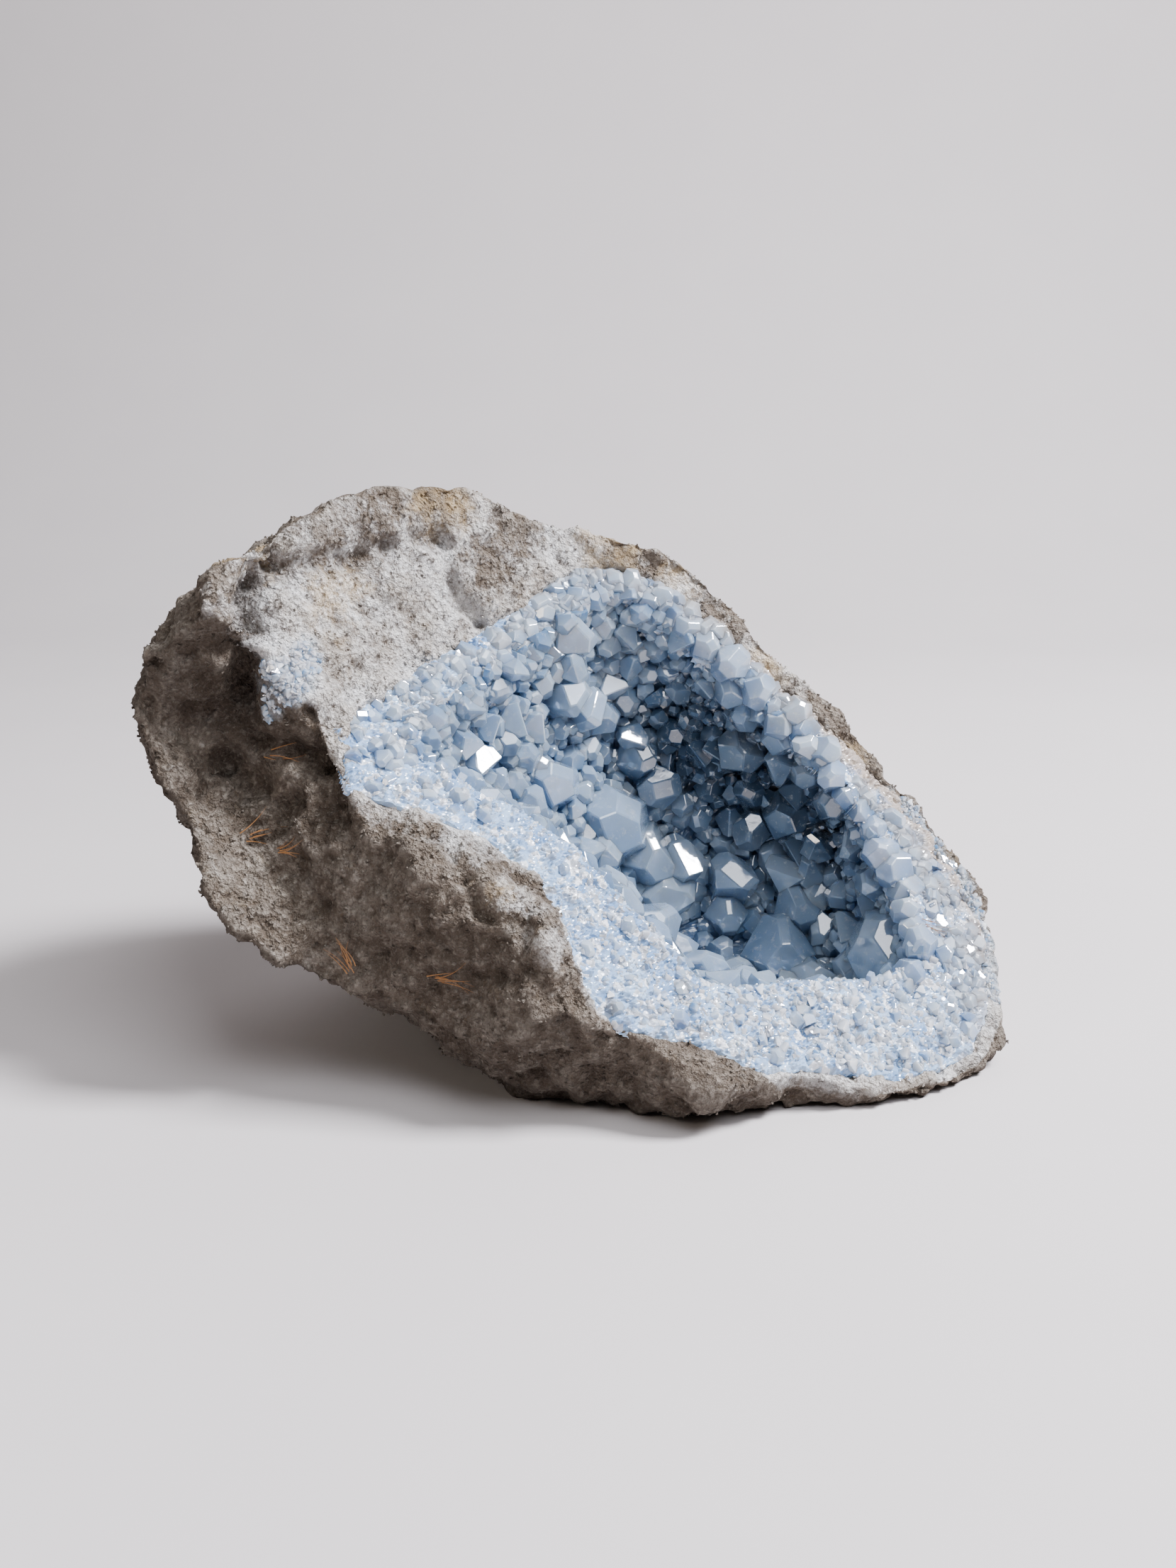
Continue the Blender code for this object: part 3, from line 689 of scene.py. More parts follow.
# %% Wall
WALL_SIDES = 240
WALL_RINGS = 52
WALL_START = 1  # degrees of slope, and how many from there to the bottom
WALL_SPAN = 88.5
WALL_SUNK = 1.8  # mm: it lies this far behind the rule, where the crystals' roots hide it
wall_points = []
for ring in range(WALL_RINGS):
    for side in range(WALL_SIDES):
        place, out = wall(360 * side / WALL_SIDES, WALL_START + WALL_SPAN * ring / (WALL_RINGS - 1))
        wall_points.append(place + out * (sugar(place) - WALL_SUNK) * MM)
wall_faces = []
for ring in range(WALL_RINGS - 1):
    for i in range(WALL_SIDES):
        j = (i + 1) % WALL_SIDES
        wall_faces.append((ring * WALL_SIDES + i, ring * WALL_SIDES + j, (ring + 1) * WALL_SIDES + j,
                           (ring + 1) * WALL_SIDES + i))
wall_points = np.clip(np.array(wall_points), box_low + FLOOR_GAP, box_high)
wall_mesh = mesh_from("wall", wall_points, wall_faces)
hollow_wall = show("hollow_wall", wall_mesh)
print("the wall has", len(wall_mesh.polygons), "faces")

# %% Where the celestite is stained, and where painted shade darkens it
STAINED_SIDE = 60  # degrees
STAIN_WIDTH = 12 * MM
EDGE_STAIN_WIDTH = 5 * MM
OVERHANG_SHADE_REACH = 13  # mm
# Under the overhang the recess lies in shadow, and painted shade darkens the crystals there. It runs through
# these places on the wall.
OVERHANG_SHADE_PATH = [np.array(on_ray(angle, radius * MM, -under * MM)[0]) / MM
              for angle, radius, under in ((112, 48, 20), (85, 41, 26), (50, 44, 20))]


def keep_tones(mesh):
    """Keep how strongly clay stained each point, and how much painted shade darkens it under the overhang."""
    points = points_of(mesh) - np.array(ORIGIN)
    angle, radius, _, _ = about_hollow(points)
    side = np.clip(0.1 + 0.8 * np.cos(np.radians(angle - STAINED_SIDE)), 0, 1)
    outward = np.clip((radius - around(OUTLINE, angle, 1) * MM) / STAIN_WIDTH, 0, 1)
    to_edge = (np.interp(angle, sample_angles, edges, period=360) - radius) / EDGE_STAIN_WIDTH
    keep(mesh, "stained", side * (0.8 * outward + 0.9 * np.clip(1 - to_edge, 0, 1)))
    # The clear number is painted shade: it darkens the crystals under the overhang, where the recess lies in
    # shadow
    keep(mesh, "clear", np.clip(1.6 - distance_to(points, OVERHANG_SHADE_PATH) / OVERHANG_SHADE_REACH, 0, 1))


keep_tones(band_mesh)
keep_tones(wall_mesh)
print("stain and painted_recess_shade are kept on", len(band_mesh.vertices) + len(wall_mesh.vertices), "points")

# %% [markdown]
# ## Granular celestite
# Each grain is clear, but light bounces between thousands of grain faces until nothing of the far side is
# left, as in sugar or snow. So the mass is white with a breath of blue, it lets light in a little way, and
# single grain faces flash. Near the rock it is stained tan by clay. A cell pattern of grain size gives each
# grain its own tone, its own polish, and one flat face that is tilted its own way, which is what makes it
# sparkle.

# %% Granular celestite material
GRAIN_WIDTH = 1.9  # mm


def facets(tree, where, millimetres, strength):
    """Flat facets of that size, each tilted its own way, and a random colour for each."""
    colour = add(tree, "TexVoronoi", {"Vector": where, "Scale": per_size(millimetres)}, "Color")
    middle = colour.node.outputs["Position"]
    away = add(tree, "VectorMath", {0: where, 1: middle}, operation="SUBTRACT")
    tilt = add(tree, "VectorMath", {0: colour, 1: (0.5, 0.5, 0.5)}, operation="SUBTRACT")
    height = add(tree, "VectorMath", {0: away, 1: tilt}, "Value", operation="DOT_PRODUCT")
    return add(tree, "Bump", {"Height": height, "Strength": strength, "Distance": 1.0}), colour


def make_granular():
    """Sugary celestite: white to pale blue, tan where it is stained, with a glint on each grain."""
    made, tree, where = new_material("granular celestite")
    normal, each = facets(tree, where, GRAIN_WIDTH, 1.0)
    white, grey, dull = add(tree, "SeparateColor", {"Color": each}).node.outputs
    patches = add(tree, "TexNoise", {"Vector": where, "Scale": per_size(11), "Detail": 4.0, "Roughness": 0.65})
    stain = frayed(tree, where, "stained", 6, 4.0, 0.65, (0.0, 1.0), (-1.1, 0.7))
    colour = layered(tree, linear("a6c1dd"), (
        (patches, 0.38, 0.62, 1.0, linear("6b8db6")),
        (white, 0.6, 0.85, 0.85, linear("fdfdfe")),
        (grey, 0.8, 1.0, 0.6, linear("8c9db5")),
        (stain, 0.0, 0.9, 0.8, linear("b09a80")),
    ))
    roughness = add(tree, "MapRange", {"Value": dull, "To Min": 0.06, "To Max": 0.4})
    surface = add(tree, "BsdfPrincipled", {
        "Base Color": colour, "Roughness": roughness, "IOR": 1.62, "Subsurface Weight": 0.15,
        "Subsurface Radius": (1.0, 1.2, 1.5), "Subsurface Scale": 1.5 * MM, "Coat Weight": 0.6,
        "Coat Roughness": 0.06, "Normal": normal})
    add(tree, "OutputMaterial", {"Surface": surface})
    return made


band.data.materials.clear()
band.data.materials.append(make_granular())
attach(band, "root")
print("granular celestite is on the band")

# %% [markdown]
# ## The form of one crystal
# A celestite crystal is orthorhombic: a blocky prism under a roof, and on larger ones a second roof crosses
# the first and leaves a small flat top. The way to make a true crystal is the way nature does it, from its
# planes: start with a block and cut it by each plane in turn. The edges are then taken off by a fraction of
# a millimetre, because the real ones are worn and catch the light as thin bright lines.

# %% One crystal
PRISM_HALF_ANGLE = math.radians(38)
CROSSED_ROOF_RADIUS = 5 * MM
CRYSTAL_ROOT = 0.4


def crystal_planes(rng, radius, length):
    """Faces of one crystal that grows along Z: each is a normal and its distance from the root's middle."""
    up = Vector((0, 0, 1))
    planes = []
    for side in (-1, 1):
        for lean_side in (-1, 1):
            normal = Vector((side * math.cos(PRISM_HALF_ANGLE), lean_side * math.sin(PRISM_HALF_ANGLE), 0))
            planes.append((normal, radius * rng.uniform(0.8, 1.0)))
        pitch = math.radians(rng.uniform(36, 50))
        roof = Vector((side, 0, 0)) * math.sin(pitch) + up * math.cos(pitch)
        planes.append((roof, length * rng.uniform(0.92, 1.05) * math.cos(pitch)))
        if radius > CROSSED_ROOF_RADIUS:
            pitch = math.radians(rng.uniform(28, 44))
            roof = Vector((0, side, 0)) * math.sin(pitch) + up * math.cos(pitch)
            planes.append((roof, length * rng.uniform(0.95, 1.15) * math.cos(pitch)))
    if radius > CROSSED_ROOF_RADIUS:
        planes.append((up, length * rng.uniform(0.78, 0.92)))
    return planes


def cut_crystal(rng, radius, length, edge):
    """Crystal that grows along Z: a block cut by its planes, with narrow worn edges of the second material."""
    part = bmesh.new()
    root = radius * CRYSTAL_ROOT
    block = Matrix.Diagonal((4 * radius, 2 * radius, length * 1.2 + root, 1))
    bmesh.ops.create_cube(part, size=1, matrix=Matrix.Translation((0, 0, (length * 1.2 - root) / 2)) @ block)
    for normal, distance in crystal_planes(rng, radius, length):
        geom = part.verts[:] + part.edges[:] + part.faces[:]
        foot = normal * distance
        cut = bmesh.ops.bisect_plane(part, geom=geom, plane_co=foot, plane_no=normal, clear_outer=True)
        edges = [item for item in cut["geom_cut"] if isinstance(item, bmesh.types.BMEdge)]
        if len(edges) > 2:
            bmesh.ops.edgeloop_fill(part, edges=edges)
    bmesh.ops.remove_doubles(part, verts=part.verts[:], dist=0.02 * MM)
    bmesh.ops.dissolve_degenerate(part, edges=part.edges[:], dist=0.02 * MM)
    if edge:
        bmesh.ops.bevel(part, geom=part.edges[:], offset=edge, segments=1, affect="EDGES", clamp_overlap=True,
                        material=1)
    bmesh.ops.recalc_face_normals(part, faces=part.faces[:])
    return part


sample = cut_crystal(random.Random(1), 6 * MM, 9 * MM, 0.3 * MM)
print("a crystal has", len(sample.faces), "faces")
sample.free()

# %% [markdown]
# ## Many crystals in one mesh
# Crystals that grew together are kept together: each cluster is one mesh. A crystal's points are moved to
# its place by one matrix and added to the end of the arrays. How far each point is up its own crystal is
# kept too, because the tips are paler than the roots. Small crystals use a few ready shapes, turned,
# stretched and sized at random, so that no two neighbours look the same.

# %% Gathering crystals


def facing(place, direction, turn, size=(1, 1, 1)):
    """Matrix that sizes a shape, turns it and stands it at a place along a direction."""
    stand = direction.to_track_quat("Z", "Y").to_matrix().to_4x4()
    turned = Matrix.Rotation(math.radians(turn), 4, "Z")
    return Matrix.Translation(place) @ stand @ turned @ Matrix.Diagonal((*size, 1))


def shape_of(part):
    """Points, faces and material numbers of a bmesh, which is freed."""
    part.verts.index_update()
    points = np.array([vert.co for vert in part.verts])
    faces = [[vert.index for vert in face.verts] for face in part.faces]
    slots = [face.material_index for face in part.faces]
    part.free()
    return points, faces, slots


def gather(name, shapes, uses):
    """One mesh of many shapes. Each use is a shape's number and the matrix that puts it in place."""
    points, faces, slots, tips = [], [], [], []
    start = 0
    for number, matrix in uses:
        own_points, own_faces, own_slots = shapes[number]
        turned = own_points @ np.array(matrix.to_3x3()).T + np.array(matrix.translation)
        points.append(turned)
        tips.append(np.clip(own_points[:, 2] / own_points[:, 2].max(), 0, 1))
        faces.extend([[start + i for i in face] for face in own_faces])
        slots.extend(own_slots)
        start += len(own_points)
    mesh = mesh_from(name, np.concatenate(points), faces)
    mesh.polygons.foreach_set("material_index", slots)
    keep(mesh, "tip", np.concatenate(tips))
    mesh.shade_flat()
    return mesh


# %% [markdown]
# ## Where the crystals stand
# The frame's crust has its crystals by a rule with a fixed seed. The same rule with the same seed puts the
# same crystals here, sharper and with worn edges. Then smaller ones go in wherever there is room, down to
# two millimetres, since a real wall has no bare place on it.

# %% Large and middling crystals
SEED = 11
CRYSTAL_COUNT = 104
CRYSTAL_RADIUS = (3.6, 7.2)
CROWDING = 0.62
BARE_SIDE = 262
BARE_LIP = 0.42
TILT = 0.22
# Angle, depth along the wall (0 mouth, 1 bottom), radius in mm, length over radius, turn
LARGE_CRYSTALS = (
    (126, 0.50, 6.8, 1.5, 20), (146, 0.62, 12.0, 1.15, 50), (128, 0.74, 11.0, 1.2, 5),
    (112, 0.86, 9.0, 1.4, 65), (96, 0.77, 6.5, 2.4, 10), (54, 0.72, 8.0, 2.1, 40),
    (40, 0.50, 6.5, 2.0, 75), (24, 0.52, 7.5, 1.7, 30), (2, 0.64, 10.5, 1.5, 5),
    (350, 0.50, 8.0, 1.6, 55), (0, 0.16, 13.0, 0.9, 15), (90, 0.30, 7.5, 1.3, 45),
    (60, 0.34, 7.5, 1.2, 70), (146, 0.14, 6.5, 1.5, 35), (165, 0.45, 8.0, 1.1, 60),
    (300, 0.85, 7.0, 1.3, 25), (240, 0.70, 8.5, 1.6, 80), (205, 0.60, 8.0, 1.3, 15),
    (18, 0.10, 5.6, 1.3, 40), (34, 0.12, 5.2, 1.2, 10), (50, 0.10, 5.6, 1.3, 65), (66, 0.13, 5.2, 1.3, 30),
    (82, 0.10, 5.4, 1.2, 80), (104, 0.12, 5.6, 1.3, 20),
)
LARGE_LEAN = Vector((0.1, -0.3, 0.8))
WORN_EDGE = 0.3 * MM


def lean(rng, direction, amount=TILT):
    """Direction tipped a little to a random side."""
    tip = Vector((rng.gauss(0, 1), rng.gauss(0, 1), rng.gauss(0, 1)))
    return (direction + tip * amount * rng.random()).normalized()


def random_place(rng):
    """Angle and depth on the wall, more often where the wall is wide."""
    widest = max(row[1] for row in OUTLINE)
    while True:
        angle = rng.uniform(0, 360)
        if rng.uniform(0, widest) < around(OUTLINE, angle, 1):
            bare = BARE_LIP * max(0.0, math.cos(math.radians(angle - BARE_SIDE)))
            return angle, math.asin(rng.uniform(0.08 + bare, 0.99)) / (math.pi / 2)


rng = random.Random(SEED)
shapes = []
uses = []
taken = []
for angle, depth, radius, stretch, turn in LARGE_CRYSTALS:
    place, out = wall(angle, 90 * depth)
    direction = (out + LARGE_LEAN).normalized()
    shapes.append(shape_of(cut_crystal(rng, radius * MM, radius * stretch * MM, WORN_EDGE)))
    uses.append((len(shapes) - 1, facing(place, direction, turn)))
    taken.append((place, radius * MM))
small_end, large_end = CRYSTAL_RADIUS
while len(uses) < CRYSTAL_COUNT:
    angle, depth = random_place(rng)
    radius = (small_end + (large_end - small_end) * depth) * rng.uniform(0.75, 1.25) * MM
    place, out = wall(angle, 90 * depth)
    if any((place - other).length < CROWDING * (radius + room) for other, room in taken):
        continue
    length = radius * rng.uniform(1.2, 2.0)
    direction = lean(rng, out)
    turn = rng.uniform(0, 180)
    shapes.append(shape_of(cut_crystal(rng, radius, length, WORN_EDGE)))
    uses.append((len(shapes) - 1, facing(place, direction, turn)))
    taken.append((place, radius))
print("large and middling crystals:", len(uses))

# %% Small crystals between them
READY_SHAPES = 18
READY_RADIUS = 6 * MM
READY_EDGE = 0.2 * MM
SMALL_COUNT = 850
SMALL_TRIES = 30000
SMALL_RADIUS = (1.7, 4.6)
SMALL_CROWDING = 0.5
SMALL_TILT = 0.6
RIM_DEPTH = 0.3  # above this, along the right side, they are smaller, and the large ones stand out
RIM_END = 115  # degrees
RIM_SHRINK = 0.6
small_rng = random.Random(SEED + 1)
first_ready = len(shapes)
for number in range(READY_SHAPES):
    length = READY_RADIUS * small_rng.uniform(0.9, 1.5)
    shapes.append(shape_of(cut_crystal(small_rng, READY_RADIUS, length, READY_EDGE)))
spots = np.array([place for place, room in taken])
rooms = np.array([room for place, room in taken])
tries = 0
added = 0
while added < SMALL_COUNT and tries < SMALL_TRIES:
    tries += 1
    angle, depth = random_place(small_rng)
    depth = max(0.0, depth - small_rng.uniform(0, 0.08))
    radius = small_rng.uniform(*SMALL_RADIUS) * MM
    if depth < RIM_DEPTH and 0 < angle < RIM_END:
        radius *= RIM_SHRINK
    place, out = wall(angle, 90 * depth)
    if np.any(np.linalg.norm(spots - np.array(place), axis=1) < SMALL_CROWDING * (radius + rooms)):
        continue
    size = radius / READY_RADIUS
    stretch = size * small_rng.uniform(0.8, 1.3)
    direction = lean(small_rng, out, SMALL_TILT)
    number = first_ready + small_rng.randrange(READY_SHAPES)
    uses.append((number, facing(place, direction, small_rng.uniform(0, 360), (size, size, stretch))))
    spots = np.vstack((spots, np.array(place)))
    rooms = np.append(rooms, radius)
    added += 1
crystal_mesh = gather("crystals", shapes, uses)
put_points(crystal_mesh, np.clip(points_of(crystal_mesh), box_low + FLOOR_GAP, box_high))
crystals = show("celestite_crystals", crystal_mesh)
keep_tones(crystal_mesh)
print("small crystals:", added, "and faces in all:", len(crystal_mesh.polygons))

# %% [markdown]
# ## Celestite, milky and half clear
# Celestite is clear when perfect and milky when full of tiny fluid bubbles, as here: light gets in,
# scatters, and comes out a soft grey-blue. Its index of refraction is 1.62, higher than glass, so its faces
# flash like small mirrors. The material is part clear, by transmission with absorption inside, and part
# milky, by light that scatters just under the surface. Tips are thin, so they are paler. Under the overhang
# the recess lies in shadow, and painted shade darkens the stone there. One noise draws whitish veils and
# another fine specks of dust, and both dull the polish a little. The worn edges are the same stone, frosted.

# %% Crystal materials


def make_crystal_material(name, clear, milky_low, milky_high, rough_low, rough_high, dust):
    """Celestite: part clear and part milky, with veils inside, stains, dusty specks and painted shade under the
    overhang.
    """
    made, tree, where = new_material(name)
    # Size in mm, detail and roughness of each noise
    cloud, veil_noise, speck_noise, ripple = (
        add(tree, "TexNoise", {"Vector": where, "Scale": per_size(size), "Detail": detail, "Roughness": rough})
        for size, detail, rough in ((5, 4.0, 0.65), (2.4, 4.0, 0.7), (0.8, 2.0, 0.7), (3.5, 3.0, 0.5)))
    each = add(tree, "NewGeometry", {}, "Random Per Island")
    tip = add(tree, "Attribute", {}, "Fac", attribute_name="tip")
    overhang_shade = add(tree, "Attribute", {}, "Fac", attribute_name="clear")
    thin = summed(tree, 0.0, ((tip, 0.5), (each, 0.3), (cloud, 0.3)))
    veils = add(tree, "MapRange", {"Value": veil_noise, "From Min": 0.56, "From Max": 0.7})
    specks = add(tree, "MapRange", {"Value": speck_noise, "From Min": 0.62, "From Max": 0.7})
    stain = frayed(tree, where, "stained", 6, 4.0, 0.65, (0.0, 1.0), (-1.1, 0.7))
    colour = layered(tree, linear(milky_low), (
        (thin, 0.2, 0.9, 1.0, linear(milky_high)),
        # Painted shade under the overhang, from the kept clear number
        (overhang_shade, 0.0, 1.0, 0.85, linear("3e5c79")),
        (veils, 0.0, 1.0, 0.6, linear("eef5fa")),
        (stain, 0.0, 0.9, 0.7, linear("b3a28a")),
        (specks, 0.0, 1.0, dust, linear("e6e1d8")),
    ))
    polish = add(tree, "MapRange", {"Value": each, "To Min": rough_low, "To Max": rough_high})
    bump = add(tree, "Bump", {"Height": ripple, "Strength": 0.3, "Distance": 0.3 * MM})
    surface = add(tree, "BsdfPrincipled", {
        "Base Color": colour, "Roughness": summed(tree, polish, ((veils, 0.12), (specks, dust))), "IOR": 1.62,
        "Transmission Weight": clear, "Subsurface Weight": 0.6, "Subsurface Radius": (0.7, 0.85, 1.0),
        "Subsurface Scale": 2.5 * MM, "Coat Weight": 1.0, "Coat Roughness": 0.02, "Coat IOR": 1.62,
        "Normal": bump})
    inside = add(tree, "VolumeAbsorption", {"Color": linear("a6c6e4"), "Density": 14.0})
    add(tree, "OutputMaterial", {"Surface": surface, "Volume": inside})
    return made


# Share that is clear, colour at the root and at the tip, least and most roughness, and dust
crystal_faces = make_crystal_material("celestite, milky", 0.62, "789ec6", "c8dbee", 0.0, 0.05, 0.03)
crystal_edges = make_crystal_material("celestite, worn edge", 0.2, "dce8f0", "f8fafa", 0.2, 0.35, 0.3)
crystals.data.materials.clear()
crystals.data.materials.append(crystal_faces)
crystals.data.materials.append(crystal_edges)
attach(crystals, "root")
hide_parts("crystal_crust")
print("celestite is on", len(crystals.data.polygons), "faces")

# %% [markdown]
# ## Grains on the band
# The band's own relief gives its bumps, but what sparkles are loose-edged grains, each with flat faces. They
# are small copies of the same crystal form, because that is what they are. On the left and in front they are
# one to two millimetres wide, with some larger ones in front. Along the top and the right side they are
# coarser, up to ten millimetres, and bluish, because there the crystals ran up to the rock, and a row of
# small crystals stands on the rim itself.

# %% Grains
GRAIN_COUNT = 6800
GRAIN_SHAPES = 16
GRAIN_RADIUS = 3 * MM
GRAIN_SIZE = (0.35, 0.9)
GRAIN_SUNK = 0.8
GRAIN_TILT = 2.5
GRAIN_ABOVE = 3 * MM  # no grain is nearer the floor than this
EDGE_GAP = 0.5 * MM  # nor nearer the rock
FRONT_SIDE = 310  # degrees: some are larger here
FRONT_WIDTH = 100
FRONT_GROWTH = 1.6
grain_rng = random.Random(SEED + 2)
grain_shapes = []
for number in range(GRAIN_SHAPES):
    length = GRAIN_RADIUS * grain_rng.uniform(0.8, 1.4)
    grain_shapes.append(shape_of(cut_crystal(grain_rng, GRAIN_RADIUS, length, 0)))


def towards(angle, side, width):
    """1 on one side of the hollow, and 0 where the angle is further from that side than the width."""
    return max(0.0, 1 - degrees_from(angle, side) / width)


band_angle = grid_angle[inside]
band_share = ((grid_radius - grid_mouth) / (grid_outer - grid_mouth))[inside]
clear_of_floor = np.array([spot.z for spot in bare_points]) > GRAIN_ABOVE
on_top = np.flatnonzero((grid_radius < grid_outer - EDGE_GAP)[inside] & clear_of_floor)


def place_on_band(rng):
    """Place on the band, even over its area, its angle, and its share of the way from mouth to edge."""
    i = on_top[rng.randrange(len(on_top))]
    return bare_points[i], band_angle[i], band_share[i]


grain_uses = []
for _ in range(GRAIN_COUNT):
    spot, angle, _ = place_on_band(grain_rng)
    size = grain_rng.uniform(*GRAIN_SIZE)
    size *= 1 + FRONT_GROWTH * towards(angle, FRONT_SIDE, FRONT_WIDTH) * grain_rng.random() ** 3
    size *= MM / GRAIN_RADIUS
    place = spot + BREAK_NORMAL * (sugar(spot) - GRAIN_SUNK) * MM
    grain_uses.append((grain_rng.randrange(GRAIN_SHAPES),
                       facing(place, lean(grain_rng, BREAK_NORMAL, GRAIN_TILT), grain_rng.uniform(0, 360),
                              (size, size * grain_rng.uniform(0.6, 1), size))))
grain_mesh = gather("grains", grain_shapes, grain_uses)
grains = show("band_grains", grain_mesh)
keep_tones(grain_mesh)
print("grains:", len(grain_uses), "with", len(grain_mesh.polygons), "faces")

# %% Coarse grains along the top and the right side
COARSE_COUNT = 620
COARSE_SIDE = 85  # degrees
COARSE_WIDTH = 120
COARSE_SIZE = (1.4, 2.5)  # mm, and how much larger where there are most
COARSE_GROWTH = 2.4
COARSE_TILT = 0.9
COARSE_ABOVE = 6 * MM
RIM_SIDE = 55
druse_uses = []
druse_shapes = shapes[first_ready:]
while len(druse_uses) < COARSE_COUNT:
    spot, angle, outward = place_on_band(grain_rng)
    share = towards(angle, COARSE_SIDE, COARSE_WIDTH)
    if grain_rng.random() > min(1.0, 1.6 * share) + 0.02 or spot.z < COARSE_ABOVE:
        continue
    if outward > 1 - 0.65 * towards(angle, RIM_SIDE, 60) or outward < 0.35 * (towards(angle, RIM_SIDE, 75) > 0):
        continue
    least, most = COARSE_SIZE
    size = grain_rng.uniform(least, most + COARSE_GROWTH * share) * MM / READY_RADIUS
    druse_uses.append((grain_rng.randrange(READY_SHAPES),
                       facing(spot - BREAK_NORMAL * MM, lean(grain_rng, BREAK_NORMAL, COARSE_TILT),
                              grain_rng.uniform(0, 360), (size, size, size * grain_rng.uniform(0.7, 1.2)))))
print("coarse grains:", len(druse_uses))

# %% Crystals on the rim
RIM_TRIES = 160
RIM_RADIUS = (3.4, 5.6)
RIM_CROWDING = 0.55
RIM_SPREAD = (-75, 65)  # degrees to either side of the rim's middle
RIM_PLACE = (-0.5, 3)  # mm outward of the mouth
RIM_ROOT = 1.5 * MM
rim_crystals = []
for _ in range(RIM_TRIES):
    angle = RIM_SIDE + grain_rng.uniform(*RIM_SPREAD)
    radius = grain_rng.uniform(*RIM_RADIUS) * MM
    mouth = float(around(OUTLINE, angle, 1)) * MM
    spot, u, v = on_ray(angle, mouth + grain_rng.uniform(*RIM_PLACE) * MM)
    if any((spot - other).length < RIM_CROWDING * (radius + room) for other, room in rim_crystals):
        continue
    rim_crystals.append((spot, radius))
    inward = (on_ray(angle, 0)[0] - spot).normalized()
    direction = lean(grain_rng, (BREAK_NORMAL + inward * grain_rng.uniform(0.3, 0.9)).normalized())
    size = radius / READY_RADIUS
    druse_uses.append((grain_rng.randrange(READY_SHAPES),
                       facing(spot + BREAK_NORMAL * (curl(v) - RIM_ROOT), direction, grain_rng.uniform(0, 360),
                              (size, size, size * grain_rng.uniform(0.9, 1.2)))))
druse_mesh = gather("druse", druse_shapes, druse_uses)
druse = show("band_druse", druse_mesh)
keep_tones(druse_mesh)
print("rim crystals:", len(rim_crystals), "and faces in all:", len(druse_mesh.polygons))

# %% Grain materials
grain_material = make_crystal_material("celestite grains", 0.3, "6f96c2", "f6faff", 0.02, 0.16, 0.08)
druse_material = make_crystal_material("celestite, coarse grains", 0.5, "7c9fca", "dbe8f5", 0.02, 0.12, 0.06)
grains.data.materials.clear()
grains.data.materials.append(grain_material)
druse.data.materials.clear()
druse.data.materials.append(druse_material)
druse.data.materials.append(crystal_edges)
hollow_wall.data.materials.clear()
hollow_wall.data.materials.append(druse_material)
for piece in (grains, druse, hollow_wall):
    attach(piece, "root")

# %% [markdown]
# ## Grains in the patches on the rock
# Left of the hollow, and round its thin low end, a little of the celestite shows through the limestone. It
# is the same granular mass as the band, so the same grains are strewn on the points of the rock that lie
# there.

# %% Grains on the patches
PATCH_GRAINS = 900
PATCH_EDGE = 0.7
PATCH_SIZE = (0.4, 1.2)
PATCH_TILT = 1.5
BOX_MARGIN = 2.2 * MM  # grains and grit stay this far inside the frame's box
inside_box = np.all((roughened > box_low + BOX_MARGIN) & (roughened < box_high - BOX_MARGIN), axis=1)
in_patch = np.flatnonzero((patch > PATCH_EDGE) & inside_box)
patch_uses = []
for _ in range(PATCH_GRAINS):
    i = in_patch[grain_rng.randrange(len(in_patch))]
    out = Vector(rock_normals[i])
    size = grain_rng.uniform(*PATCH_SIZE) * MM / GRAIN_RADIUS
    patch_uses.append((grain_rng.randrange(GRAIN_SHAPES),
                       facing(Vector(roughened[i]) - out * 0.3 * MM, lean(grain_rng, out, PATCH_TILT),
                              grain_rng.uniform(0, 360), (size, size, size))))
patch_mesh = gather("patch", grain_shapes, patch_uses)
patch_grains = show("patch_grains", patch_mesh)
patch_grains.data.materials.append(grain_material)
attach(patch_grains, "root")
print("grains on the patches:", len(patch_uses))

# %% [markdown]
# ## Grit on the rock
# Limestone that has weathered stands up in grains, because the mud between them went first. A bump in the
# material shades them, and loose-looking grains in the mesh give them shadows and break up the outline.
# Each grain counts as raised for its colour, so a painted highlight makes it paler than the rock under it.

# %% Grit
GRIT_COUNT = 13000
GRIT_SHAPES = 12
GRIT_SIZE = (0.35, 0.95)
GRIT_HIGHLIGHT = 1.0  # how much higher than the rock under it each grain counts for its colour, as a painted highlight
GRIT_TILT = 1.5
PATCH_BARE = 0.6  # no grit where there is more celestite than this
grit_rng = random.Random(SEED + 4)
grit_shapes = []
for number in range(GRIT_SHAPES):
    lump = bmesh.new()
    for corner in range(8):
        way = Vector((grit_rng.gauss(0, 1), grit_rng.gauss(0, 1), grit_rng.gauss(0, 1))).normalized()
        lump.verts.new(way * grit_rng.uniform(0.7, 1.0))
    hull = bmesh.ops.convex_hull(lump, input=lump.verts)
    inner = [item for item in hull["geom_interior"] if isinstance(item, bmesh.types.BMVert)]
    bmesh.ops.delete(lump, geom=inner)
    bmesh.ops.recalc_face_normals(lump, faces=lump.faces[:])
    grit_shapes.append(shape_of(lump))
on_outside = (past_band > 0) | (rock_normals @ np.array(BREAK_NORMAL) < -0.3)
outside = np.flatnonzero(on_outside & inside_box & (patch < PATCH_BARE))
grit_uses = []
sources = [outside[grit_rng.randrange(len(outside))] for _ in range(GRIT_COUNT)]
